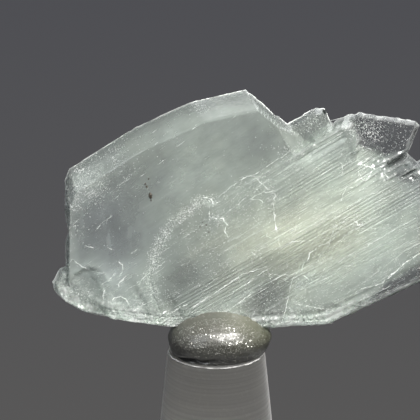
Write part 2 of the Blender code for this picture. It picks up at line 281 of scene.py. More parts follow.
def burr_material():
    """The raw, whitened edge that the tool left."""
    made, tree, shader = new_material("torn_plastic")
    place = node(tree, "ShaderNodeTexCoord").outputs["Object"]
    dots, mottle = grain_of(tree, place, 5200)
    tone = blend(tree, spread(tree, mottle, 0.4, 0.62), (0.34, 0.34, 0.33, 1), BURR_COLOUR)
    bump = node(tree, "ShaderNodeBump", [("Height", dots), ("Strength", 0.6), ("Distance", 4e-5)])
    tree.links.new(tone, shader.inputs["Base Color"])
    tree.links.new(bump.outputs[0], shader.inputs["Normal"])
    shader.inputs["Roughness"].default_value = 0.45
    shader.inputs["Transmission Weight"].default_value = 0.25
    shader.inputs["IOR"].default_value = 1.49
    return made


# The burr is a thin bead round the top edge, uneven in height and thickness.
bead = np.linspace(0, 2 * np.pi, 9)
uneven = noise(round_angle * 7, 1 + 0 * round_angle, 15) + 0.6 * noise(round_angle * 23, 5 + 0 * round_angle, 16)
bead_half = BURR_HALF * np.clip(0.62 + 1.1 * uneven, 0.08, 1.6)
bead_radius = BURR_RADIUS + bead_half * np.cos(bead) + 0.02 * uneven
burr_points, burr_quads = turned(bead_radius, STAND_HEIGHT - BURR_HALF + BURR_HALF * 0.9 * np.sin(bead), STAND_TURNS)
edge_burr = add_piece("edge_burr", burr_points, burr_quads, 50)
edge_burr.data.materials.append(burr_material())
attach(edge_burr, "root")


# The putty: a lump of grey mineral tack, rolled to a bean by hand and squashed onto the stand,
# with the crystal pressed into it. It is slightly greasy, and full of fine mica-like flecks.

PUTTY_HALF = (6.35, 5.8, 3.2)
PUTTY_CENTRE_UP = 1.9
PUTTY_BELLY = 1.3
PUTTY_DENTS = 0.05
PUTTY_RIGHT_NOSE = 0.14
PUTTY_HUMP = 0.35
PUTTY_COLOUR = (0.088, 0.087, 0.068, 1)
PUTTY_OLIVE = (0.125, 0.128, 0.076, 1)
# Painted shade for the lower part of the lump.
PUTTY_PAINTED_SHADE = (0.007, 0.007, 0.005, 1)
PUTTY_LONGITUDES = 240
PUTTY_LATITUDES = 130
FLECKS = 850
FLECKS_BEFORE = -2.4


def putty_surface(longitudes, latitudes):
    """The lump as a squashed ball: its radius times 1 + dents + nose + lumps - crease.

    dents and nose are slow waves of the ball's own x, y and z, lumps are noise, and the
    crease is a groove low on the left of the front, where the lump was folded.
    """
    lon = np.linspace(0, 2 * np.pi, longitudes, endpoint=False)[:, None]
    lat = np.linspace(np.pi / 2, -np.pi / 2, latitudes)[None, :]
    x, y = np.cos(lat) * np.cos(lon), np.cos(lat) * np.sin(lon)
    z = np.sin(lat) + 0 * x
    dents = PUTTY_DENTS * np.sin(3 * x + 1) * np.cos(2 * y)
    nose = PUTTY_RIGHT_NOSE * np.maximum(x, 0) ** 6 * (1 - np.abs(z))
    lumps = 0.022 * (cloud(x * 3 + 5, z * 3 + 5, 21) + cloud(y * 3 + 5, z * 3 + 9, 31))
    wander = 0.06 * noise(x * 4 + 9, y * 0 + 3, 41)
    crease = 0.085 * np.exp(-(((z + 0.40 + wander) / 0.055) ** 2) - ((x + 0.45) / 0.35) ** 2)
    fold = 0.035 * np.exp(-(((z + 0.24 + wander) / 0.08) ** 2) - ((x + 0.5) / 0.3) ** 2)
    front = np.clip(-y * 3, 0, 1)
    swell = 1 + dents + nose + lumps + (fold - crease) * front - 0.012
    hump = PUTTY_CENTRE_UP + PUTTY_HUMP * np.cos(2.2 * x - 0.3)
    full = np.where(z < 0, np.cos(lat) ** -0.5, 1)
    full = np.minimum(full, 1.12)
    deep = np.where(z < 0, PUTTY_BELLY, 1)
    height = z * deep * PUTTY_HALF[2] * (1 + lumps) + hump
    height = np.maximum(height, 0.05 + 0.03 * noise(x * 6, y * 6, 51))
    swell = swell * full
    points = np.stack([x * swell * PUTTY_HALF[0], y * swell * PUTTY_HALF[1], STAND_HEIGHT + height], -1)
    points[:, 0] = points[:, 0].mean(axis=0)
    points[:, -1] = points[:, -1].mean(axis=0)
    step, along = np.meshgrid(np.arange(longitudes), np.arange(latitudes), indexing="ij")
    pole = (along == 0) | (along == latitudes - 1)
    index = np.where(pole, along, step * latitudes + along)
    after = np.roll(index, -1, axis=0)
    quads = np.stack([index[:, :-1], index[:, 1:], after[:, 1:], after[:, :-1]], axis=-1)
    return points.reshape(-1, 3), quads.reshape(-1, 4)


def press_into(piece, solid_name):
    """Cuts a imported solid's own shape out of the piece, so that the two fit."""
    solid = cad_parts[solid_name]
    shape = bmesh.new()
    shape.from_mesh(solid.data)
    bmesh.ops.remove_doubles(shape, verts=shape.verts, dist=1e-7)
    mould_mesh = bpy.data.meshes.new("mould")
    shape.to_mesh(mould_mesh)
    shape.free()
    mould = bpy.data.objects.new("mould", mould_mesh)
    bpy.context.scene.collection.objects.link(mould)
    cut = piece.modifiers.new("Pressed", "BOOLEAN")
    cut.operation = "DIFFERENCE"
    cut.solver = "EXACT"
    cut.object = mould
    shown = bpy.context.evaluated_depsgraph_get()
    pressed = bpy.data.meshes.new_from_object(piece.evaluated_get(shown))
    piece.modifiers.clear()
    piece.data = pressed
    bpy.data.objects.remove(mould)


def putty_material():
    """Grey tack: a waxy body with painted shade low on the lump, pale flecks that are painted glints stronger higher
    up, and a fine grain.
    """
    made, tree, shader = new_material("mineral_putty")
    place = node(tree, "ShaderNodeTexCoord").outputs["Object"]
    dots, mottle = grain_of(tree, place, 3600)
    flecks = node(
        tree, "ShaderNodeTexVoronoi", [("Vector", place), ("Scale", 2300)], feature="F1"
    ).outputs["Distance"]
    fleck = spread(tree, flecks, 0.10, 0.22, 1.0, 0.0)
    across, _, up = node(tree, "ShaderNodeSeparateXYZ", [(0, place)]).outputs
    body = blend(tree, spread(tree, across, 0, 6 * MM), PUTTY_COLOUR, PUTTY_OLIVE)
    # Painted shade: the lump's colour darkens towards the bottom, where little light reaches it.
    under = maths(tree, "ADD", up, maths(tree, "MULTIPLY", mottle, 1.2 * MM))
    under = spread(tree, under, (STAND_HEIGHT + 1.4) * MM, (STAND_HEIGHT + 5.2) * MM)
    body = blend(tree, under, PUTTY_PAINTED_SHADE, body)
    body = blend(tree, maths(tree, "MULTIPLY", dots, 0.25), body, (0.28, 0.28, 0.22, 1))
    # Painted glints: the flecks are painted pale, more strongly high on the lump where the light falls.
    body = blend(tree, maths(tree, "MULTIPLY", fleck, maths(tree, "MULTIPLY", under, 0.5)), body, (0.62, 0.62, 0.57, 1))
    rough = spread(tree, mottle, 0.35, 0.7, 0.44, 0.56)
    relief = maths(tree, "ADD", dots, maths(tree, "MULTIPLY", fleck, 0.8))
    bump = node(tree, "ShaderNodeBump", [("Height", relief), ("Strength", 0.9), ("Distance", 7e-5)])
    tree.links.new(body, shader.inputs["Base Color"])
    tree.links.new(rough, shader.inputs["Roughness"])
    tree.links.new(bump.outputs[0], shader.inputs["Normal"])
    shader.inputs["IOR"].default_value = 1.85
    shader.inputs["Coat Weight"].default_value = 0.5
    shader.inputs["Coat Roughness"].default_value = 0.3
    return made


putty_points, putty_quads = putty_surface(PUTTY_LONGITUDES, PUTTY_LATITUDES)
mineral_putty = add_piece("mineral_putty", putty_points, putty_quads, 60)
press_into(mineral_putty, "crystal")
mineral_putty.data.materials.clear()
mineral_putty.data.materials.append(putty_material())
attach(mineral_putty, "root")
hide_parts("putty")


def mica_flecks():
    """Flat flecks on the lump, each a square tilted a little from the surface under it.

    The surface's direction is the cross product of its grid's steps along and down.
    """
    rng = np.random.default_rng(45)
    grid = putty_points.reshape(PUTTY_LONGITUDES, PUTTY_LATITUDES, 3)
    facing = np.cross(np.roll(grid, -1, 0) - np.roll(grid, 1, 0), np.gradient(grid, axis=1))
    facing, places = facing.reshape(-1, 3), putty_points
    size = np.linalg.norm(facing, axis=1)
    free = (places[:, 1] < FLECKS_BEFORE) & (size > 1e-4) & (places[:, 2] > STAND_HEIGHT + 1.8)
    kept = rng.choice(np.flatnonzero(free), FLECKS, replace=False)
    upright = -facing[kept] / size[kept, None]
    upright += rng.normal(0, 0.22, (FLECKS, 3))
    upright /= np.linalg.norm(upright, axis=1)[:, None]
    first = np.cross(upright, rng.normal(0, 1, (FLECKS, 3)))
    first /= np.linalg.norm(first, axis=1)[:, None]
    second = np.cross(upright, first)
    half = rng.uniform(0.025, 0.07, (FLECKS, 1))
    middle = places[kept] + 0.02 * upright
    corners = [middle + half * first, middle + half * second, middle - half * first, middle - half * second]
    return np.stack(corners, 1).reshape(-1, 3), np.arange(4 * FLECKS).reshape(-1, 4)


def mica_material():
    """Mica: thin grey flecks with a bright glint."""
    made, tree, shader = new_material("mica")
    place = node(tree, "ShaderNodeTexCoord").outputs["Object"]
    dots, mottle = grain_of(tree, place, 900)
    tone = blend(tree, mottle, (0.36, 0.36, 0.32, 1), (0.80, 0.80, 0.76, 1))
    tree.links.new(tone, shader.inputs["Base Color"])
    shader.inputs["Metallic"].default_value = 0.7
    shader.inputs["Roughness"].default_value = 0.35
    return made


fleck_points, fleck_quads = mica_flecks()
flecks = add_piece("mica_flecks", fleck_points, fleck_quads, 30)
flecks.data.materials.append(mica_material())
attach(flecks, "root")


# The crystal: barite, grown as one thick tablet with a sheaf of blades along its right side.
# Points are in its own frame: u runs along the blades, v across them and w out of the front.
# Nothing was worked: growth left the steps and striations, and a break left the lower edge.

LEAN_BACK = math.radians(12)
BLADE_RISE = math.radians(30)
SEAT = np.array([0, 1.5, STAND_HEIGHT + 2.4])
ALONG_STEP = 0.18
ACROSS_STEP = 0.135
EDGE_EASE = 0.3
COLD_MILK = (0.77, 0.85, 0.85, 1)
PALE_MILK = (0.78, 0.88, 0.79, 1)
WARM_MILK = (0.92, 0.975, 0.80, 1)
# Clear crystal is painted dark grey: painted shade for the dim room seen through it.
CLEAR_PAINTED_DARK = (0.13, 0.135, 0.145, 1)
# White for frost and powder, also used for the painted highlights on the crystal.
FROST_AND_HIGHLIGHT_WHITE = (0.97, 0.99, 0.97, 1)

# Each tablet: the corners of its rim as (u, v), the heights of rim, front and back, and how
# far the bevels of each side lean in on the way to the front and to the back.
TABLETS = [
    (
        [
            (-8.6, 3.7), (21.4, 3.7), (21.5, 14.8), (18.1, 24.0), (11.3, 26.1), (4.0, 26.8),
            (-5.9, 26.4), (-7.1, 25.4), (-8.0, 23.9), (-12.8, 15.4), (-13.4, 12.2),
        ],
        (0.0, 3.4, -3.4),
        [0.6, 2.2, 0.8, 2.5, 2.7, 2.6, 1.8, 0.8, 0.25, 0.25, 0.5],
        [0.6, 0.4, 1.3, 2.6, 2.2, 2.4, 1.8, 0.9, 0.4, 0.4, 0.8],
    ),
    (
        [
            (-4.0, 2.0), (4.0, -3.4), (12.0, -6.0), (25.0, -6.2),
            (29.5, -4.4), (30.5, 5.0), (25.0, 12.0), (-4.0, 14.0),
        ],
        (0.0, 2.5, -2.6), 0.5, 0.6,
    ),
    (
        [(4.0, 4.6), (27.5, 4.6), (29.0, 9.5), (27.5, 12.2), (4.0, 13.6)],
        (2.45, 3.4, -2.6), [1.5, 5.5, 5.5, 2.0, 3.0], 1.0,
    ),
    ([(12.0, 13.6), (25.3, 13.9), (25.3, 17.0), (24.4, 17.7), (12.0, 17.7)], (-1.0, 0.6, -2.5), 0.7, 0.8),
    (
        [(10.0, 7.0), (31.6, 7.2), (34.5, 9.4), (34.3, 10.2), (28.8, 14.7), (10.0, 14.6)],
        (0.7, 2.3, -1.3), [0.7, 0.6, 0.4, 0.3, 0.2, 0.5], 0.25,
    ),
    (
        [(4.0, 8.7), (26.0, 8.7), (28.4, 11.6), (28.5, 14.6), (27.3, 15.1), (4.0, 14.7)],
        (0.4, 3.7, -2.8), [0.9, 1.4, 1.5, 1.2, 0.7, 9.0], 1.2,
    ),
    ([(2.4, 9.5), (27.5, 10.2), (28.4, 11.9), (2.4, 11.3)], (0.6, 4.1, -3.1), [0.8, 1.5, 0.8, 14.0], 1.0),
    ([(6.0, 4.8), (32.3, 4.8), (31.4, 7.25), (6.0, 7.4)], (0.1, 3.15, -2.1), 0.7, 0.9),
    ([(8.0, 6.2), (28.8, 6.9), (29.7, 8.5), (8.0, 7.9)], (0.5, 3.9, -2.9), [0.9, 1.5, 0.9, 12.0], 0.9),
    (
        [(-1.0, 2.8), (34.7, 2.9), (36.2, 4.3), (35.4, 5.7), (-1.0, 5.5)],
        (0.3, 4.0, -3.1), [0.8, 1.1, 1.1, 0.7, 14.0], 0.9,
    ),
    (
        [
            (13.0, -0.9), (33.5, -0.9), (35.1, 0.9), (34.6, 4.2),
            (19.3, 4.4), (14.5, 2.1), (12.4, 0.5),
        ],
        (-0.3, 3.45, -3.6), 0.9, 1.1,
    ),
    (
        [(-0.6, -0.8), (5.0, -0.4), (31.2, 0.9), (31.0, 2.6), (5.0, 1.4), (-0.6, 0.9)],
        (0.2, 3.25, -3.0), [0.9, 0.9, 0.9, 0.9, 0.9, 3.0], 1.0,
    ),
    (
        [
            (5.0, -6.0), (12.7, -6.8), (24.9, -7.8), (30.4, -8.0), (33.1, -4.9),
            (33.3, -1.4), (31.4, 0.7), (11.6, 0.7), (7.4, -3.0),
        ],
        (-0.5, 2.9, -3.2), [0.6, 1.1, 1.5, 1.6, 1.4, 0.8, 0.6, 0.6, 0.5], 1.5,
    ),
    ([(6.8, -3.8), (30.6, -3.4), (31.2, -1.6), (8.6, -2.2)], (0.0, 3.35, -2.6), [0.9, 0.9, 0.9, 5.0], 0.9),
    (
        [(-9.4, 4.6), (-8.0, -1.0), (1.0, -5.0), (4.2, -0.9), (9.3, 2.8), (9.3, 4.6)],
        (-0.2, 2.9, -2.9), 0.5, 0.7,
    ),
    (
        [(-7.0, 3.0), (-2.0, -9.0), (13.0, -9.0), (12.8, 1.6), (9.0, 3.2)],
        (0.1, 2.2, -2.4), 0.7, 0.8,
    ),
    (
        [
            (-15.3, 13.9), (-15.0, 12.2), (-13.6, 10.1), (-9.0, 5.8),
            (-5.0, 8.0), (-9.0, 15.6), (-13.2, 16.2), (-14.9, 15.2),
        ],
        (-0.2, 2.5, -2.8), 0.7, 0.7,
    ),
]

# The break along the foot, as one more tablet that holds what was left whole.
UNBROKEN = (
    [
        (-16.6, 17.2), (-15.2, 13.6), (-14.4, 11.6), (-13.0, 9.4), (-7.3, 4.7), (-4.2, 2.4),
        (5.4, -3.3), (11.9, -6.6), (40.0, -14.5), (45.0, 30.0), (-20.0, 34.0),
    ],
    (-0.3, 7.0, -7.0),
    [0.9, 1.0, 1.0, 1.0, 1.2, 1.4, 2.4, 0.1, 0.1, 0.1, 0.1],
    [0.9, 0.9, 0.8, 1.0, 1.2, 2.6, 1.8, 0.1, 0.1, 0.1, 0.1],
)


# Shallow conchoidal scoops along the break: where each is centred, how deep it bites below
# the height given, its radius and its side.
SCOOPS = [
    (-11.6, 12.6, 2.0, 3.6, 1), (-7.4, 8.6, 2.6, 3.4, 1), (-3.4, 4.4, 2.5, 3.0, 1),
    (-9.6, 10.6, 2.3, 4.4, -1), (1.2, 0.8, 2.2, 3.2, -1),
]


def ease(value, low, high):
    """0 below low, 1 above high and the step 3t^2 - 2t^3 between them."""
    t = np.clip((value - low) / (high - low), 0, 1)
    return t * t * (3 - 2 * t)


def softer(first, second, reach):
    """The smaller of two heights, rounded off where they differ by less than reach."""
    share = np.clip(0.5 + (second - first) / (2 * reach), 0, 1)
    return second + (first - second) * share - reach * share * (1 - share) / 2


def tablet(u, v, shape):
    """How far (u, v) lies inside a tablet's rim, and its front and back heights there.

    Each side of the rim is a line. The distance to it, times the bevel's slope, is added to
    the rim's height for the front and taken from it for the back.
    """
    plan, (rim, front, back), front_runs, back_runs = shape
    corners = np.array(plan)
    ends = np.roll(corners, -1, axis=0)
    front_runs = np.broadcast_to(front_runs, len(plan))
    back_runs = np.broadcast_to(back_runs, len(plan))
    depth, high, low = np.inf, front + 0 * u, back + 0 * u
    for (x, y), (to_x, to_y), run_up, run_down in zip(corners, ends, front_runs, back_runs):
        away = ((v - y) * (to_x - x) - (u - x) * (to_y - y)) / math.hypot(to_x - x, to_y - y)
        depth = np.minimum(depth, away)
        high = softer(high, rim + away * (front - rim) / run_up, EDGE_EASE)
        low = -softer(-low, away * (rim - back) / run_down - rim, EDGE_EASE)
    return depth, high, low


def plain_sheets(u, v):
    """The tablets together, less the break: depth inside the outline, front, back, and how
    far inside the break's line each point lies.

    Front is the highest of the tablets' fronts, and each scoop is the underside of a ball,
    warped by noise.
    """
    depth = np.full(u.shape, -np.inf)
    front, back = np.full(u.shape, -50.0), np.full(u.shape, 50.0)
    for shape in TABLETS:
        inside, high, low = tablet(u, v, shape)
        front = np.where(inside > 0, np.maximum(front, high), front)
        back = np.where(inside > 0, np.minimum(back, low), back)
        depth = np.maximum(depth, inside)
    whole, high, low = tablet(u, v, UNBROKEN)
    front, back = np.minimum(front, high), np.maximum(back, low)
    warp_u, warp_v = u + 0.9 * cloud(u * 0.45, v * 0.45, 61), v + 0.9 * cloud(u * 0.45, v * 0.45, 66)
    for along, across, level, radius, side in SCOOPS:
        reach = np.maximum(radius**2 - (warp_u - along) ** 2 - (warp_v - across) ** 2, 0)
        bitten = np.where(reach > 0, level + radius - np.sqrt(reach), 50)
        bitten = bitten + 0.15 + 0.07 * np.sin(np.sqrt(radius**2 - reach) * 4.5)
        if side > 0:
            front = softer(front, bitten, 0.9)
        else:
            back = -softer(-back, bitten, 0.5)
    return np.minimum(depth, whole), front, back, whole


def fan(u, v):
    """The number of a striation: striations spread slightly towards the right."""
    return (v - 4.5) / (1 + (u - 15) / 155)


def striations(u, v, seed, count, tall):
    """Growth lines along the blades: many narrow wedges, steep below and gentle above.

    Each has its own place across, start, length, height and width, and tapers at both ends.
    """
    rng = np.random.default_rng(seed)
    q = fan(u, v)
    total = np.zeros(u.shape)
    for _ in range(count):
        place, start = rng.uniform(-12, 10.2), rng.uniform(-6, 29)
        length = 2.5 + rng.exponential(6.5)
        height, half = tall * rng.uniform(0.25, 1.0), rng.uniform(0.09, 0.30)
        t = (q - place) / half
        wedge = np.clip(1 - np.where(t < 0, -t * 2.2, t), 0, 1)
        ends = np.clip((u - start) / 1.2, 0, 1) * np.clip((start + length - u) / 1.6, 0, 1)
        total += np.where(rng.random() < 0.2, -0.6, 1.0) * height * wedge * ends
    return total


def terraces(u, v, seed, tall):
    """Growth layers: noise drawn out along the blades and cut into level steps."""
    levels = 2.4 * noise(fan(u, v) / 1.3, u / 13, seed) + 1.6 * noise(v / 2.9, u / 6, seed + 1)
    whole = np.floor(levels)
    return tall * (whole + ease(levels - whole, 0, 0.12))


def shards(x, y, seed):
    """Flat chips: each place takes the tilted plane of the nearest of a jittered grid of points."""
    rng = np.random.default_rng(seed)
    shift, tilt = rng.uniform(0, 1, (64, 64, 2)), rng.uniform(-1, 1, (64, 64, 3))
    cell_x, cell_y = np.floor(x).astype(int), np.floor(y).astype(int)
    best, level = np.full(x.shape, np.inf), np.zeros(x.shape)
    for across in (-1, 0, 1):
        for along in (-1, 0, 1):
            i, j = (cell_x + across) % 64, (cell_y + along) % 64
            from_x = x - (cell_x + across + shift[i, j, 0])
            from_y = y - (cell_y + along + shift[i, j, 1])
            gap = from_x**2 + from_y**2
            plane = tilt[i, j, 0] * from_x + tilt[i, j, 1] * from_y + 0.5 * tilt[i, j, 2]
            level = np.where(gap < best, plane, level)
            best = np.minimum(best, gap)
    return level


def from_line(u, v, line):
    """The distance from (u, v) to a line of straight pieces."""
    nearest = np.full(u.shape, np.inf)
    for (x, y), (to_x, to_y) in zip(line[:-1], line[1:]):
        run_x, run_y = to_x - x, to_y - y
        t = np.clip(((u - x) * run_x + (v - y) * run_y) / (run_x**2 + run_y**2), 0, 1)
        nearest = np.minimum(nearest, np.hypot(u - x - t * run_x, v - y - t * run_y))
    return nearest


# The edge of a thin broken layer left of the middle, as v for each u.
LAYER_EDGE = np.array([
    (-5.2, 1.4), (-4.4, 8), (-3.7, 10.2), (-2.6, 11.2), (-1, 12.7), (0.6, 13.7),
    (2.1, 14.5), (3.8, 14.5), (5.3, 14.9), (6.7, 15.2), (7.8, 14.3), (26.2, 15),
])
LAYER_RISE = 0.09

# Cracks and torn edges that catch the light on the front: the line, and half its width.
FRONT_CRACKS = [
    ([(6.4, 15.2), (7.1, 15.2), (7.6, 14.8), (7.7, 13.9)], 0.055),
    ([(6.8, 13.6), (6.5, 12.9), (7.1, 12.2), (7.8, 11.9), (7.8, 11), (7.2, 10.5), (7.2, 9.4)], 0.06),
    ([(12.1, 15.3), (13.7, 14.6), (14.1, 13.5), (14.4, 12.4), (15.1, 11.6)], 0.035),
    ([(15.1, 11.6), (14, 10.2), (13, 7.9), (12.6, 6.5), (12.1, 5.3)], 0.055),
    ([(14.9, 11.7), (13.6, 12.3), (12, 12.3), (13, 11.5), (13.1, 10.5), (13.8, 9.8)], 0.035),
    ([(8.2, 12.3), (10.6, 12.5), (13.8, 13)], 0.03),
    ([(8.3, 14.5), (12.1, 15), (13.9, 14.7), (19.3, 15)], 0.035),
    ([(11.7, 7.7), (11.3, 7.4), (11.7, 6.8), (12.4, 6.6)], 0.035),
    ([(25.2, 9.1), (25.1, 7.5), (25.4, 7.1), (26.7, 7.8), (26.7, 8.2), (26, 9.1), (25.2, 9.1)], 0.05),
    ([(23.8, 10.9), (23.9, 10.4), (23.3, 9.3)], 0.045),
    ([(25.9, 15.1), (27.4, 14.8), (28.6, 14.4), (28.6, 13.6), (27.7, 12.4), (26, 11.3)], 0.035),
    ([(26.1, 11.4), (27.5, 10.6), (27.9, 10)], 0.035),
    ([(21.7, 6.7), (23, 7.8), (23.6, 7.1)], 0.035),
    ([(27.8, 6.9), (27.9, 6.3), (28.3, 5.2)], 0.035),
    ([(32, 7.7), (32.3, 6), (32.3, 5.4)], 0.04),
    ([(-9.3, 12.3), (-8.4, 12.2), (-7.4, 12.5)], 0.05),
    ([(-7.8, 10.9), (-7.4, 11.3), (-6.2, 11.6)], 0.05),
    ([(-9.2, 12.1), (-9.5, 11.4), (-10, 10.6), (-10.6, 9.8)], 0.05),
    ([(-9.8, 9.6), (-8.9, 9.9), (-8.2, 9.8), (-7.7, 9.1), (-7.7, 7.8)], 0.045),
    ([(-8.4, 7.3), (-6.4, 7.4), (-4, 7.4)], 0.045),
    ([(-11.8, 12), (-12.3, 10.8), (-12.5, 9.9)], 0.04),
    ([(-6.7, 10), (-4.7, 10.3), (-1.2, 10.8)], 0.03),
    ([(-12.1, 16.3), (-10.9, 16.8), (-10.5, 15.8), (-9.7, 14.4), (-8.2, 13)], 0.035),
    ([(-6.1, 13.7), (-5.8, 13.1), (-6.3, 12.3), (-7, 12)], 0.045),
    ([(-3.7, 4.7), (-2.4, 4.9), (-1.5, 4.8)], 0.055),
    ([(-1.9, 3.7), (0.1, 4.2), (2.8, 4.3), (6.5, 4.6), (9.4, 3.9)], 0.05),
    ([(1.8, 5.6), (5.7, 6)], 0.02),
    ([(3.5, 3.1), (5.5, 3.2), (9.6, 3.6)], 0.03),
    ([(1.8, 1.4), (5.2, 1.8), (8.9, 2)], 0.035),
    ([(9.2, 3), (10, 2.3), (11.8, 1.3)], 0.03),
    ([(9.2, 3), (9, 1.7)], 0.03),
    ([(11.7, 1.1), (10.6, 0.1), (8.6, -2.2), (7.3, -3.4)], 0.035),
    ([(9.4, -1.2), (12.6, -4), (14, -5.1)], 0.03),
    ([(0.2, 9.3), (3.5, 9.3), (6.6, 9.2), (9.7, 8.8)], 0.02),
    ([(8.7, 6.6), (9.1, 5.5)], 0.03),
    ([(9.1, 6.3), (10.9, 6.2), (12.5, 6.2)], 0.025),
    ([(12.6, 0.9), (13.3, 1.8), (14.4, 2.2), (14.9, 2.7), (16.3, 3), (17.6, 2.8)], 0.055),
    ([(12.7, 1), (13.2, -0.1)], 0.045),
    ([(17.3, 2.2), (18.2, 3.3), (19.4, 4.1), (19.9, 4.2), (21.5, 3.9)], 0.045),
    ([(18, 2), (19.4, 2.4), (20.7, 2.7), (21.8, 2.5), (22.6, 1.8)], 0.03),
    ([(21.6, 3.6), (21.9, 2.8), (22.8, 2.8)], 0.05),
    ([(22.9, 1.9), (23.5, 1.3)], 0.05),
    ([(12.2, 5.1), (13.8, 5.2), (15.5, 4.2), (15.9, 4.1)], 0.05),
    ([(13, -0.2), (15.5, 0.1), (19.9, 0), (26.7, 0), (28.6, 0), (28.1, -0.8)], 0.03),
    ([(11.5, -0.7), (14.6, -1.3), (17.4, -0.8), (21.4, -1.7)], 0.025),
    ([(16.1, -4), (19, -3.8), (24.8, -3), (27.9, -2.7)], 0.02),
    ([(18.2, -4.4), (20.7, -5), (22.1, -4.8), (24.2, -4.3), (27, -4.1)], 0.055),
    ([(21.5, 6), (21.7, 6.7), (22.3, 7), (23.4, 6.8)], 0.035),
    ([(21.1, 5), (22, 5.5), (25.1, 5.4), (26.6, 5.1)], 0.03),
    ([(24.1, 4.3), (28.6, 4)], 0.025),
    ([(-6.6, 18.4), (-5.7, 18.8), (-3.9, 19)], 0.03),
    ([(-7.9, 23.2), (-7.5, 22.1), (-7.2, 21.3)], 0.025),
    ([(-8.6, 17.4), (-7.9, 16.7)], 0.04),
    ([(-6.6, 16.1), (-5.9, 15.4)], 0.04),
    ([(-4.3, 13.8), (-3.2, 13.8)], 0.03),
]

# Windows of clear crystal, as the corners of each and how clear it is.
CLEAR_PLACES = [
    ([(9.1, 2.4), (11.6, 1.1), (7.9, -3.3), (5.2, -2.4), (3.9, 1.3)], 0.38),
    ([(27.0, 14.2), (29.0, 14.4), (34.6, 10.2), (34.8, 9.4), (31.4, 7.6), (29.0, 8.4), (26.8, 11.2)], 0.95),
    ([(14.5, -5.8), (17.5, -5.2), (21.9, -5.2), (24.4, -4.8), (27.1, -5.3), (33.2, -6), (30, -11.4), (19.4, -8.5)], 0.85),
    ([(28.0, 6.3), (33.4, 6.6), (33.4, 4.4), (30.2, 3.8)], 0.5),
    ([(20.5, 17.8), (25.4, 17.8), (25.4, 15.2), (21.2, 14.9)], 0.45),
]

# Where the crystal is milkier or clearer: middle (u, v), half sizes along and across, amount.
MILK = 0.56
MILK_PLACES = [
    (-4.4, 18.0, 4.4, 5.2, -0.32), (-7.8, 20.9, 2.2, 3.5, -0.10), (1.7, 20.8, 3.6, 2.8, -0.15),
    (16.8, 17.8, 2.6, 2.0, -0.14), (-0.2, 8.2, 3.4, 2.1, -0.30), (7.6, 0.6, 2.4, 1.8, -0.12),
    (-12.1, 14.2, 1.6, 1.4, 0.20), (30.7, 5.4, 2.2, 2.2, -0.25), (8.0, 18.6, 3.4, 3.2, 0.10),
    (9.7, 9.8, 3.6, 2.6, 0.22), (17.2, 6.4, 7.5, 4.2, 0.45), (24.2, 7.6, 4.4, 3.2, 0.34),
    (20.2, -0.8, 8.5, 2.6, 0.40), (-7.4, 9.8, 3.8, 3.0, 0.30), (-9.2, 14.8, 2.4, 1.9, 0.16),
    (0.7, 2.0, 4.5, 2.2, 0.22), (-6.4, 24.6, 2.4, 2.0, 0.06), (20.7, 13.0, 5.0, 1.8, 0.24),
    (23.2, 16.8, 2.4, 1.6, 0.25), (24.2, 2.4, 5.0, 3.0, 0.16), (29.7, 7.3, 2.4, 0.8, -0.40),
]

# Where white dust and bruises lie: middle (u, v), radius, amount.
DUST_PLACES = [
    (27.2, 13.4, 1.2, 1.1), (28.6, 12.4, 2.4, 1.1), (-5, 24.4, 3.0, 1.1), (-7.7, 22.7, 1.6, 0.8), (-8.8, 20.5, 1.6, 0.7), (0.3, 24.7, 2.2, 0.6), (-9.4, 20.0, 1.8, 0.5), (23.8, 16.8, 2.0, 0.9), (20.8, 17.8, 1.4, 0.7),
    (29.2, 12.0, 2.4, 0.7), (18.8, 13.6, 2.6, 0.6), (7.4, 11.8, 1.2, 0.8), (14.6, 11.0, 1.3, 0.8),
    (21.2, 4.6, 2.2, 0.7), (-5.4, 6.8, 3.2, 0.7), (5.6, 12.4, 0.9, 0.7), (25.6, 7.8, 1.6, 0.5),
    (2.2, 1.0, 2.6, 0.6), (12.2, 25.6, 1.6, 0.5), (-11.6, 12.8, 2.0, 0.5),
]


def place_depth(u, v, corners):
    """How far (u, v) lies inside a convex outline given clockwise, negative outside."""
    depth = np.full(u.shape, np.inf)
    for (x, y), (to_x, to_y) in zip(corners, corners[1:] + corners[:1]):
        away = ((u - x) * (to_y - y) - (v - y) * (to_x - x)) / math.hypot(to_x - x, to_y - y)
        depth = np.minimum(depth, away)
    return depth


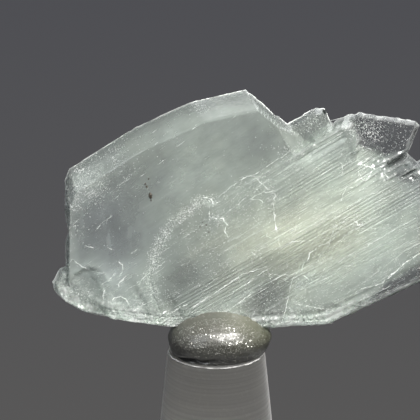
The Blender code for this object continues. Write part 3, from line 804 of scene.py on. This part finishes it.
def looks(u, v, thickness, broken):
    """What the finish follows at (u, v): milkiness with painted light on the broken foot, dust and warmth."""
    milk_and_light = MILK + 0.10 * cloud(u * 0.22, v * 0.3, 82)
    for at_u, at_v, half_u, half_v, amount in MILK_PLACES:
        milk_and_light += amount * np.exp(-(((u - at_u) / half_u) ** 2) - ((v - at_v) / half_v) ** 2)
    left, up = u * 0.866 - v * 0.5, u * 0.5 + v * 0.866
    veils = ease(noise(left * 1.5, up * 0.35, 83) + 0.5 * noise(left * 3.4, up * 0.8, 86), 0.1, 1.1)
    milk_and_light += 0.14 * veils * np.exp(-(((left + 14) / 5) ** 2) - ((up - 10) / 6) ** 2)
    milk_and_light *= 0.45 + 0.55 * ease(thickness, 0.3, 5.6)
    # Painted light: the broken foot is made milky and pale, partly crushed crystal and partly painted light coming down
    # through it.
    milk_and_light = np.maximum(milk_and_light, broken * (0.75 + 0.3 * cloud(u * 0.5, v * 0.5, 87)))
    for corners, strength in CLEAR_PLACES:
        soft = 0.30 * cloud(u * 0.7, v * 0.7, 81)
        milk_and_light *= 1 - strength * ease(place_depth(u, v, corners) + soft, -0.3, 0.5)
    ledge = from_line(u, v, LAYER_EDGE[1:-1]) + 0.3 * noise(u, v, 84)
    dust = 1.1 * np.exp(-((ledge / 0.8) ** 2))
    for at_u, at_v, radius, amount in DUST_PLACES:
        near = np.hypot(u - at_u, v - at_v) / radius + 0.4 * noise(u * 0.9, v * 0.9, 85)
        dust = np.maximum(dust, amount * np.exp(-(near**2)))
    dust = np.maximum(dust, 0.3 * ease(v, 15.2, 14.2) * ease(u, -4, 4))
    warm = 0.9 * np.exp(-(((u - 13) / 10) ** 2) - ((v - 6.0) / 5.5) ** 2)
    warm += 0.6 * np.exp(-(((u - 19.5) / 4) ** 2) - ((v - 2.6) / 2.2) ** 2)
    cold = 0.9 * np.exp(-(((u + 6) / 5) ** 2) - ((v - 17) / 7) ** 2)
    cold += 0.5 * ease(u, 26, 32)
    hue = np.clip(warm - cold + 0.30 * cloud(u * 0.25, v * 0.4, 91), -1, 1)
    return np.clip(milk_and_light, 0, 1), dust, hue


def outline(u, v):
    """The plain sheets inside an outline nibbled by noise, most along the break and the tip."""
    depth, front, back, from_break = plain_sheets(u, v)
    edge = 0.08 * ease(cloud(u * 0.9, v * 0.9, 101), -0.1, 0.8)
    edge += 0.12 * ease(noise(u * 1.7, v * 1.7, 105), 0.0, 0.8) * ease(u, 17, 19) * ease(v, 10, 13)
    edge += 0.10 * ease(noise(u * 1.1, v * 1.1, 107), -0.2, 0.9) * ease(-from_break, -2.2, -0.2)
    left, up = u * 0.866 - v * 0.5, u * 0.5 + v * 0.866
    edge += 0.4 * np.exp(-(((up - 12.4) / 1.2) ** 2)) * ease(-left, 14, 17)
    return depth - edge, front, back, from_break


def sheets(u, v):
    """The crystal's two skins in full: depth inside the outline, front, back, and breakage.

    The steps between blades are eased by the mean height of places around, which counts low
    places little. Growth layers, striations and chips are then added, and fade out towards
    the outline, where the two skins draw together in a worn edge.
    """
    depth, front, back, from_break = outline(u, v)
    total, count = 0.1 * np.stack([front, -back]), 0.1
    for shift, along in zip(range(-4, 5), (0.5, -1.0, 1.3, -0.6, 0, 0.8, -1.3, 1.0, -0.5)):
        _, near_front, near_back, _ = plain_sheets(u + along * ease(u, 2, 8), v + 0.4 * shift)
        near = np.stack([near_front, -near_back])
        weight = ease(near, 0.5, 2.0)
        total += weight * near
        count = count + weight
    even_front, even_back = total / count
    gentle = np.maximum(ease(v, 14.6, 13.4), ease(u, 21.7, 22.4) * ease(v, 15.2, 14.7)) * ease(depth, 0.1, 0.8)
    gentle *= 1 - np.maximum(ease(u, 28.0, 28.8) * ease(v, 7.8, 8.6), ease(u, 25.2, 26.2) * ease(v, 8.8, 9.6))
    front += (even_front - front) * gentle
    back += (-even_back - back) * gentle
    sheaf = ease(v, 14.7, 13.9) * ease(u, -3, 6)
    whole = ease(from_break, 0.8, 3.8)
    broken = 1 - whole
    layer_v = np.interp(u, LAYER_EDGE[:, 0], LAYER_EDGE[:, 1])
    scallop = 0.3 * np.abs(np.sin(u * 2.1 + 1.5 * noise(u * 0.8, v * 0.3, 111)))
    under = layer_v - scallop + 0.22 * cloud(u * 1.5, v * 1.5, 112) - v
    layer = LAYER_RISE * ease(under, 0, 0.4)
    front = front + layer * ease(v, 15.6, 14.9)
    front += sheaf * striations(u, v, 201, 130, 0.03) + 0.35 * whole * striations(u, v, 202, 60, 0.05)
    front += sheaf * terraces(u, v, 203, 0.015)
    front += 0.022 * cloud(u * 0.55, v * 0.8, 204) * whole
    back += -sheaf * striations(u, v, 211, 150, 0.05) - terraces(u, v, 213, 0.02) * whole
    back -= 0.03 * cloud(u * 0.5, v * 0.7, 214)
    chips = 0.24 * shards(u * 0.62 + 9, v * 0.62 + 9, 221) + 0.09 * shards(u * 1.7, v * 1.7, 222)
    chips += 0.05 * cloud(u * 2.5, v * 2.5, 225) + 0.8 * striations(u, v, 226, 60, 0.12)
    front += broken * (chips - 0.10)
    chips = 0.30 * shards(u * 0.55 + 5, v * 0.55 + 7, 223) + 0.12 * shards(u * 1.5, v * 1.5, 224)
    back += broken * (chips + 0.12)
    front = np.minimum(front, 4.25)
    back = np.maximum(back, -4.25)
    middle = (front + back) / 2
    half = np.maximum((front - back) / 2, 0)
    half *= np.sqrt(ease(depth, 0, 0.25) * 0.92 + 0.08)
    half = np.where(depth > 0, half, 0)
    return depth, middle + half, middle - half, broken


def crystal_to_world(u, v, w):
    """Points of the crystal's frame, turned by the blades' rise, leaned back and set on the seat."""
    right = u * math.cos(BLADE_RISE) - v * math.sin(BLADE_RISE)
    up = u * math.sin(BLADE_RISE) + v * math.cos(BLADE_RISE)
    y = up * math.sin(LEAN_BACK) - w * math.cos(LEAN_BACK)
    z = up * math.cos(LEAN_BACK) + w * math.sin(LEAN_BACK)
    return np.stack([right, y, z], axis=-1) + SEAT


def fit_outline(u, v, depth):
    """Moves each grid point just outside the outline onto it.

    It slides towards whichever of its eight neighbours lies deepest inside, and halving the
    interval finds where the depth is zero.
    """
    inside = depth > 0
    deepest, to_u, to_v = np.zeros(u.shape), u.copy(), v.copy()
    for i in (-1, 0, 1):
        for j in (-1, 0, 1):
            near = np.roll(depth, (i, j), axis=(0, 1))
            better = near > deepest
            deepest = np.where(better, near, deepest)
            to_u = np.where(better, np.roll(u, (i, j), axis=(0, 1)), to_u)
            to_v = np.where(better, np.roll(v, (i, j), axis=(0, 1)), to_v)
    moved = ~inside & (deepest > 0)
    out_u, out_v, in_u, in_v = u[moved], v[moved], to_u[moved], to_v[moved]
    for _ in range(12):
        half_u, half_v = (out_u + in_u) / 2, (out_v + in_v) / 2
        found = outline(half_u, half_v)[0] > 0
        out_u, out_v = np.where(found, out_u, half_u), np.where(found, out_v, half_v)
        in_u, in_v = np.where(found, half_u, in_u), np.where(found, half_v, in_v)
    u, v = u.copy(), v.copy()
    u[moved], v[moved] = out_u, out_v
    return u, v, inside


def crystal_mesh():
    """Both skins on one grid of (u, v), sewn together along the outline.

    Returns the points, the quads, and for each point its place as (u, striation, w) and its
    marks: frost with painted highlights and painted light, milkiness with painted light on the
    broken foot, dust and hue.
    """
    u, v = np.meshgrid(
        np.arange(-16.8, 37.6, ALONG_STEP), np.arange(-9.2, 27.6, ACROSS_STEP), indexing="ij"
    )
    depth = outline(u, v)[0]
    u, v, inside = fit_outline(u, v, depth)
    depth, front, back, broken = sheets(u, v)
    front = np.where(inside, front, (front + back) / 2)
    back = np.where(inside, back, front)
    cell = inside[:-1, :-1] | inside[1:, :-1] | inside[:-1, 1:] | inside[1:, 1:]
    index = np.arange(u.size).reshape(u.shape)
    under = np.where(inside, index + u.size, index)
    front_quads = np.stack([index[:-1, :-1], index[1:, :-1], index[1:, 1:], index[:-1, 1:]], -1)[cell]
    back_quads = np.stack([under[:-1, :-1], under[:-1, 1:], under[1:, 1:], under[1:, :-1]], -1)[cell]
    milk_and_light, dust, hue = looks(u, v, front - back, broken)
    finish = []
    for skin, sign in ((front, 1), (back, -1)):
        slope_u, slope_v = np.gradient(skin, ALONG_STEP, ACROSS_STEP)
        bend = -sign * np.gradient(slope_v, ACROSS_STEP, axis=1)
        sheaf = ease(v, 14.9, 13.9) * ease(u, -5, 4)
        # Painted light in the frost mark: ridges and steep steps are whitened as painted highlights, the outline as
        # wear and a painted rim highlight, the left bevel as painted light where it faces away from the lamps, and the
        # broken foot as crushed crystal and painted light.
        crest = ease(bend, 0.6, 4.5) * (0.12 + 0.88 * sheaf)
        flank = ease(np.hypot(slope_u, slope_v), 0.7, 2.2) * ease(depth, 0.5, 0.9) * sheaf
        rim_wear_and_highlight = ease(depth, 0.22, 0.02)
        chips = broken * ease(cloud(u * 1.3, v * 1.3, 303), -0.25, 0.45)
        side = ease(v * 0.5 - u * 0.866, 16.9, 18.2)
        frost_and_highlight = 0.5 * crest + 0.2 * flank + 0.9 * rim_wear_and_highlight + 0.8 * chips + 0.15 * side
        frost_and_highlight *= 0.70 + 0.5 * noise(u * 0.35, fan(u, v) * 2.6, 301)
        finish.append(np.clip(frost_and_highlight if sign > 0 else 0.3 * frost_and_highlight + 0.6 * chips, 0, 1))
    points = np.concatenate([crystal_to_world(u, v, w).reshape(-1, 3) for w in (front, back)])
    place = np.concatenate([np.stack([u, fan(u, v), w], -1).reshape(-1, 3) for w in (front, back)])
    marks = [np.concatenate([f.ravel() for f in finish])]
    marks += [np.tile(mark.ravel(), 2) for mark in (milk_and_light, dust, hue)]
    return points, np.concatenate([front_quads, back_quads]), place, marks


def attribute(tree, name, output="Fac"):
    """One of the mesh's own attributes."""
    return node(tree, "ShaderNodeAttribute", attribute_name=name).outputs[output]


def barite_material():
    """See-through, pale grey-green barite, clouded inside and frosted on its edges and steps, with painted highlights
    on its ridges, steps, striations and outline.
    """
    made, tree, shader = new_material("barite")
    place = attribute(tree, "crystal_mm", "Vector")
    frost_and_highlight, milk_and_light, dust, hue = (attribute(tree, name) for name in ("frost_and_highlight", "milk_and_light", "dust", "hue"))
    drawn = node(tree, "ShaderNodeMapping", [("Vector", place), ("Scale", (0.07, 1.0, 1.0))]).outputs[0]
    wisps = node(
        tree, "ShaderNodeTexNoise",
        [("Vector", drawn), ("Scale", 1.1), ("Detail", 5), ("Roughness", 0.65)],
    ).outputs[0]
    billows = node(
        tree, "ShaderNodeTexNoise",
        [("Vector", place), ("Scale", 0.28), ("Detail", 5), ("Distortion", 0.8)],
    ).outputs[0]
    lines = node(
        tree, "ShaderNodeTexNoise", [("Vector", drawn), ("Scale", 5.5), ("Detail", 3)]
    ).outputs[0]
    dots, mottle = grain_of(tree, place, 6.0)
    shift = maths(tree, "MULTIPLY", maths(tree, "SUBTRACT", billows, 0.5), 0.9)
    streak = maths(tree, "MULTIPLY", maths(tree, "SUBTRACT", wisps, 0.5), 0.4)
    uneven = maths(tree, "ADD", maths(tree, "ADD", shift, streak), 1.0)
    amount = maths(tree, "MULTIPLY", milk_and_light, uneven, clamp=True)
    cold = blend(tree, spread(tree, hue, -1, 0), COLD_MILK, PALE_MILK)
    body = blend(tree, spread(tree, hue, 0, 1), cold, WARM_MILK)
    # Where the crystal is clear, its colour falls to that painted dark.
    body = blend(tree, amount, CLEAR_PAINTED_DARK, body)
    # Bright streaks along the striations, partly frost and partly painted highlights.
    hairs = node(tree, "ShaderNodeMapping", [("Vector", place), ("Scale", (0.03, 1.0, 0.3))]).outputs[0]
    hairs = node(
        tree, "ShaderNodeTexNoise", [("Vector", hairs), ("Scale", 10.0), ("Detail", 1)]
    ).outputs[0]
    bright = maths(tree, "ADD", spread(tree, lines, 0.58, 0.72, 0.0, 0.5), spread(tree, hairs, 0.60, 0.68))
    bright = maths(tree, "MULTIPLY", bright, spread(tree, milk_and_light, 0.45, 0.9, 0.04, 0.30))
    speck = maths(tree, "MULTIPLY", dots, maths(tree, "MULTIPLY", dust, 0.7), clamp=True)
    # The whitening mixes frost, painted highlights and white dust.
    whiten = maths(tree, "MAXIMUM", maths(tree, "MAXIMUM", frost_and_highlight, bright), speck, clamp=True)
    body = blend(tree, maths(tree, "MULTIPLY", whiten, 0.92), body, FROST_AND_HIGHLIGHT_WHITE)
    rough = spread(tree, mottle, 0.4, 0.7, 0.14, 0.28)
    rough = maths(tree, "ADD", rough, maths(tree, "MULTIPLY", whiten, 0.35))
    relief = maths(tree, "ADD", lines, maths(tree, "MULTIPLY", speck, 0.6))
    bump = node(tree, "ShaderNodeBump", [("Height", relief), ("Strength", 0.5), ("Distance", 5e-5)])
    tree.links.new(body, shader.inputs["Base Color"])
    tree.links.new(rough, shader.inputs["Roughness"])
    tree.links.new(bump.outputs[0], shader.inputs["Normal"])
    shader.inputs["Transmission Weight"].default_value = 0.62
    shader.inputs["IOR"].default_value = 1.64
    water = node(
        tree, "ShaderNodeVolumeAbsorption", [("Color", (0.86, 0.90, 0.86, 1)), ("Density", 60)]
    )
    tree.links.new(water.outputs[0], tree.nodes["Material Output"].inputs["Volume"])
    return made


points, quads, place, marks = crystal_mesh()
names = ("frost_and_highlight", "milk_and_light", "dust", "hue")
barite = add_piece("barite_crystal", points, quads, 24, [
    ("crystal_mm", "FLOAT_VECTOR", place),
    *((name, "FLOAT", mark) for name, mark in zip(names, marks)),
])
barite.data.materials.append(barite_material())
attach(barite, "root")
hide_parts("crystal")


# Bruises and dust: where layers were torn, the barite is crushed to white powder along fine
# lines, and grains of it lie on the faces. A few dark grains are caught under the front.

LINE_LIFT = 0.035
SAMPLES = 120
RIM_DEPTH = 0.07
RUN_LINES = 120
SHORT_LINES = 50
GRAINS = 20000
EDGE_GRAINS = 16000
RIM_RAYS = [
    (0.0, 14.0, 78, 165, 3, 0.03), (0.0, 14.0, 165, 322, 5, 0.07), (12.0, 18.0, -14, 97, 3, 0.07),
    (28.5, 11.0, -20, 112, 2, 0.035), (22.5, 15.5, -5, 112, 1, 0.06),
]
DARK_GRAINS = [
    (1.53, 18.93, 0.27), (1.41, 18.62, 0.24), (1.31, 18.77, 0.18), (1.25, 18.25, 0.15),
    (1.66, 20.05, 0.17), (1.63, 19.84, 0.11), (1.68, 20.39, 0.14), (2.34, 20.70, 0.13),
    (4.88, 12.38, 0.11), (5.62, 12.23, 0.13), (5.43, 12.70, 0.11), (5.45, 11.32, 0.11),
    (5.22, 12.01, 0.09),
]


def ribbons(u, v, half, last):
    """Thin ridges that lie on the front: one row of samples for each.

    Each is a three-sided bar, half wide to either side of its line, with its crest LINE_LIFT
    above the face. Samples after the last good one are left out.
    """
    along_u, along_v = np.gradient(u, axis=1), np.gradient(v, axis=1)
    length = np.hypot(along_u, along_v) + 1e-9
    side_u, side_v = -along_v / length * half, along_u / length * half
    top = sheets(u, v)[1]
    points = np.stack([
        crystal_to_world(u - side_u, v - side_v, top - 0.02),
        crystal_to_world(u, v, top + LINE_LIFT * np.clip(half / 0.04, 0.2, 1)),
        crystal_to_world(u + side_u, v + side_v, top - 0.02),
    ], axis=2)
    rows, columns = np.meshgrid(np.arange(u.shape[0]), np.arange(u.shape[1]), indexing="ij")
    index = (rows * u.shape[1] + np.minimum(columns, last[:, None]))[:, :, None] * 3 + np.arange(3)
    turned_index = np.roll(index, -1, axis=2)
    quads = np.stack([index[:, :-1], index[:, 1:], turned_index[:, 1:], turned_index[:, :-1]], -1)
    return points.reshape(-1, 3), quads.reshape(-1, 4)


def last_inside(u, v, margin):
    """The last sample of each row before the row leaves the crystal's outline."""
    whole = np.minimum.accumulate(outline(u, v)[0] > margin, axis=1)
    return np.maximum(whole.sum(axis=1) - 1, 0)


def crack_lines():
    """The bruised cracks, with their corners worn by noise and their width uneven."""
    t = np.linspace(0, 1, SAMPLES)
    u, v, half = [], [], []
    for number, (line, width) in enumerate(FRONT_CRACKS):
        corners = np.array(line)
        way = np.concatenate([[0], np.cumsum(np.hypot(*np.diff(corners, axis=0).T))])
        at = t * way[-1]
        u.append(np.interp(at, way, corners[:, 0]) + 0.15 * cloud(at * 4.2, 0 * t + number * 3.7, 401))
        v.append(np.interp(at, way, corners[:, 1]) + 0.15 * cloud(at * 4.2, 0 * t + number * 3.7, 411))
        uneven = np.clip(0.85 + 1.5 * cloud(at * 3.7, 0 * t + number * 5.3, 421), 0.08, 1.9)
        half.append(width * uneven * np.sin(np.pi * t) ** 0.25)
    u, v = np.array(u), np.array(v)
    return ribbons(u, v, np.array(half), last_inside(u, v, 0.05))


def rim_lines():
    """The crumbled line just inside the outline.

    Rays leave a point inside at evenly spaced angles, and halving the interval finds where
    each is RIM_DEPTH inside the outline.
    """
    from_u, from_v, angle, width = [], [], [], []
    for centre_u, centre_v, start, stop, rows, half in RIM_RAYS:
        angle.append(np.radians(np.linspace(start, stop, rows * SAMPLES)).reshape(rows, SAMPLES))
        from_u.append(np.full((rows, 1), centre_u))
        from_v.append(np.full((rows, 1), centre_v))
        width.append(np.full((rows, 1), half))
    from_u, from_v, angle = np.concatenate(from_u), np.concatenate(from_v), np.concatenate(angle)
    near, far = np.zeros(angle.shape), np.full(angle.shape, 40.0)
    for _ in range(14):
        middle = (near + far) / 2
        inside = outline(from_u + middle * np.cos(angle), from_v + middle * np.sin(angle))[0] > RIM_DEPTH
        near, far = np.where(inside, middle, near), np.where(inside, far, middle)
    u, v = from_u + near * np.cos(angle), from_v + near * np.sin(angle)
    half = np.concatenate(width) * np.clip(0.6 + 1.2 * cloud(u * 2.6, v * 2.6, 431), 0.1, 1.5)
    return ribbons(u, v, half, np.full(len(angle), SAMPLES - 1))


def run_lines():
    """Long hair lines along the striations of the blades, and short ones on the upper bevel."""
    rng = np.random.default_rng(501)
    t = np.linspace(0, 1, 45)[None, :]
    start = np.concatenate([rng.uniform(-7, 27, (RUN_LINES, 1)), rng.uniform(-8, 12, (SHORT_LINES, 1))])
    length = np.concatenate([
        2.0 + rng.exponential(9.0, (RUN_LINES, 1)), rng.uniform(0.3, 1.5, (SHORT_LINES, 1))
    ])
    q = np.concatenate([rng.uniform(-11, 9.4, (RUN_LINES, 1)), rng.uniform(18, 25, (SHORT_LINES, 1))])
    u = start + length * t
    q = q + 0.03 * noise(u * 0.7, q * 9, 502)
    v = 4.5 + q * (1 + (u - 15) / 155)
    half = rng.uniform(0.008, 0.028, q[:, :1].shape) * np.sin(np.pi * t) ** 0.4
    half = half * (1 - 0.8 * ease(u, 27, 28) * ease(v, 8, 9))
    half = half * np.clip(0.7 + 0.8 * noise(u * 1.1, q * 7, 503), 0.15, 1.3)
    return ribbons(u, v, half, last_inside(u, v, 0.35))


def octahedra(centres, halves, rng):
    """Small grains with six corners each, stretched and turned at random."""
    corners = np.array([(1, 0, 0), (0, 1, 0), (-1, 0, 0), (0, -1, 0), (0, 0, 1), (0, 0, -1)])
    stretch = halves[:, None, None] * rng.uniform(0.6, 1.2, (len(halves), 6, 1))
    turn = rng.uniform(0, 2 * np.pi, len(halves))[:, None]
    x = corners[:, 0] * np.cos(turn) - corners[:, 1] * np.sin(turn)
    y = corners[:, 0] * np.sin(turn) + corners[:, 1] * np.cos(turn)
    shape = np.stack([x, y, np.broadcast_to(corners[:, 2], x.shape)], axis=-1)
    points = centres[:, None, :] + shape * stretch
    faces = np.array([(0, 1, 4, 4), (1, 2, 4, 4), (2, 3, 4, 4), (3, 0, 4, 4),
                      (1, 0, 5, 5), (2, 1, 5, 5), (3, 2, 5, 5), (0, 3, 5, 5)])
    quads = faces[None] + 6 * np.arange(len(halves))[:, None, None]
    return points.reshape(-1, 3), quads.reshape(-1, 4)


def dust_grains():
    """Grains on the front, crowded where the dust is thick."""
    rng = np.random.default_rng(601)
    u, v = rng.uniform(-16, 34, 150000), rng.uniform(-8, 27, 150000)
    depth, top, bottom, broken = sheets(u, v)
    dust = looks(u, v, top - bottom, broken)[1]
    for line, width in FRONT_CRACKS:
        dust = np.maximum(dust, 12 * width * np.exp(-((from_line(u, v, line) / 0.22) ** 2)))
    share = 0.006 + 0.8 * dust**1.6 + broken * (0.35 + 0.6 * ease(depth, 1.2, 0.2))
    kept = np.flatnonzero((depth > 0.12) & (rng.random(u.size) < share))[:GRAINS]
    halves = rng.uniform(0.018, 0.044, kept.size) * rng.choice([1, 1, 1, 1.6], kept.size)
    centres = crystal_to_world(u[kept], v[kept], top[kept] - 0.2 * halves)
    return octahedra(centres, halves, rng)


def crushed_edge():
    """Grains crowded along the break and the worn left side, thickest at the outline."""
    rng = np.random.default_rng(651)
    u, v = rng.uniform(-16.5, 14, 160000), rng.uniform(-8, 24, 160000)
    depth, top, _, broken = sheets(u, v)
    left, up = u * 0.866 - v * 0.5, u * 0.5 + v * 0.866
    side = 0.5 * ease(left, -17.9, -18.6) * ease(up, 22, 19)
    patches = 0.55 + 0.9 * cloud(u * 1.1, v * 1.1, 652)
    share = np.maximum(broken * (0.20 + ease(depth, 0.9, 0.1)), side) * patches
    kept = np.flatnonzero((depth > 0.03) & (rng.random(u.size) < share))[:EDGE_GRAINS]
    halves = rng.uniform(0.02, 0.05, kept.size)
    return octahedra(crystal_to_world(u[kept], v[kept], top[kept]), halves, rng)


def dark_grains():
    """The dark grains, each a lump half sunk in the front face."""
    rng = np.random.default_rng(701)
    u, v, halves = np.array(DARK_GRAINS).T
    return octahedra(crystal_to_world(u, v, sheets(u, v)[1]), halves, rng)


def powder_material():
    """Crushed barite: white and rough."""
    made, tree, shader = new_material("crushed_barite")
    place = node(tree, "ShaderNodeTexCoord").outputs["Object"]
    dots, mottle = grain_of(tree, place, 5000)
    tone = blend(tree, spread(tree, mottle, 0.35, 0.6), (0.66, 0.72, 0.66, 1), FROST_AND_HIGHLIGHT_WHITE)
    tree.links.new(tone, shader.inputs["Base Color"])
    tree.links.new(spread(tree, dots, 0, 1, 0.45, 0.3), shader.inputs["Roughness"])
    shader.inputs["IOR"].default_value = 1.64
    return made


def dark_material():
    """Brown-black grains with a dull glint."""
    made, tree, shader = new_material("dark_grain")
    place = node(tree, "ShaderNodeTexCoord").outputs["Object"]
    dots, mottle = grain_of(tree, place, 4000)
    tone = blend(tree, mottle, (0.010, 0.008, 0.005, 1), (0.07, 0.05, 0.025, 1))
    tree.links.new(tone, shader.inputs["Base Color"])
    tree.links.new(spread(tree, dots, 0, 1, 0.6, 0.4), shader.inputs["Roughness"])
    return made


powder = powder_material()
for name, made in (
    ("bruised_cracks", crack_lines), ("crumbled_rim", rim_lines), ("hair_lines", run_lines),
    ("dust_grains", dust_grains), ("crushed_edge", crushed_edge),
):
    piece_points, piece_quads = made()
    piece = add_piece(name, piece_points, piece_quads, 30)
    piece.data.materials.append(powder)
    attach(piece, "root")
piece_points, piece_quads = dark_grains()
specks = add_piece("dark_grains", piece_points, piece_quads, 30)
specks.data.materials.append(dark_material())
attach(specks, "root")


# The light and the camera: a dim grey room, one large soft light from the upper right, a
# weaker one from the left, and one from behind and above that lights the edges from within.

LOW_GREY = (0.100, 0.098, 0.097, 1)
HIGH_GREY = (0.076, 0.077, 0.087, 1)
FLOOR_RADIUS = 36
PIXEL = 0.125
FRAME_PIXELS = 420
SENSOR = 36.0
CAMERA_DISTANCE = 420
CAMERA_RISE = math.radians(20)
SEAT_PIXEL = (216.3, 327)
LIGHTS = [
    ("key_light", (160, -220, 380), 200, 3.8, (1.0, 0.985, 0.96)),
    ("fill_light", (-300, -220, 330), 260, 0.7, (0.93, 0.97, 1.0)),
    ("edge_light", (60, 300, 330), 420, 1.3, (0.96, 0.98, 1.0)),
]

world = bpy.data.worlds.new("grey_room")
world.use_nodes = True
tree = world.node_tree
direction = node(tree, "ShaderNodeTexCoord").outputs["Generated"]
height = node(tree, "ShaderNodeSeparateXYZ", [(0, direction)]).outputs[2]
grey = blend(tree, spread(tree, height, -0.41, -0.27), LOW_GREY, HIGH_GREY)
tree.links.new(grey, tree.nodes["Background"].inputs["Color"])
bpy.context.scene.world = world
bpy.context.scene.view_settings.view_transform = "Standard"

target = np.array([0, SEAT[1], SEAT[2]])
target[0] += (FRAME_PIXELS / 2 - SEAT_PIXEL[0]) * PIXEL
rise_in_view = (SEAT_PIXEL[1] - FRAME_PIXELS / 2) * PIXEL
target += rise_in_view * np.array([0, math.sin(CAMERA_RISE), math.cos(CAMERA_RISE)])


def aimed(thing, name, position, aim):
    """An object for a light or a camera, at a position and looking at a point."""
    made = bpy.data.objects.new(name, thing)
    bpy.context.scene.collection.objects.link(made)
    made.location = position * MM
    direction = made.location.copy()
    direction.xyz = (aim - position).tolist()
    made.rotation_euler = direction.to_track_quat("-Z", "Y").to_euler()
    return made


for name, position, size, watts, colour in LIGHTS:
    lamp = bpy.data.lights.new(name, "AREA")
    lamp.shape = "SQUARE"
    lamp.size = size * MM
    lamp.energy = watts
    lamp.color = colour
    aimed(lamp, name, np.array(position, float), target).visible_camera = False

camera = bpy.data.cameras.new("camera")
camera.sensor_width = SENSOR
camera.lens = SENSOR * CAMERA_DISTANCE / (FRAME_PIXELS * PIXEL)
camera.clip_start = 0.01
back = np.array([0, -math.cos(CAMERA_RISE), math.sin(CAMERA_RISE)])
bpy.context.scene.camera = aimed(camera, "camera", target + back * CAMERA_DISTANCE, target)


def floor_material():
    """Plain pale card with a faint tooth."""
    made, tree, shader = new_material("pale_card")
    place = node(tree, "ShaderNodeTexCoord").outputs["Object"]
    dots, mottle = grain_of(tree, place, 1500)
    tone = blend(tree, mottle, (0.30, 0.30, 0.295, 1), (0.34, 0.34, 0.335, 1))
    bump = node(tree, "ShaderNodeBump", [("Height", dots), ("Strength", 0.2), ("Distance", 1e-4)])
    tree.links.new(tone, shader.inputs["Base Color"])
    tree.links.new(bump.outputs[0], shader.inputs["Normal"])
    shader.inputs["Roughness"].default_value = 0.8
    return made


disc_radius = np.array([0, FLOOR_RADIUS - 0.4, FLOOR_RADIUS, FLOOR_RADIUS, 0])
disc_height = np.array([0, 0, -0.4, -3.0, -3.0])
floor_points, floor_quads = turned(np.broadcast_to(disc_radius, (96, 5)), disc_height, 96)
floor = add_piece("floor", floor_points, floor_quads, 40)
floor.data.materials.append(floor_material())
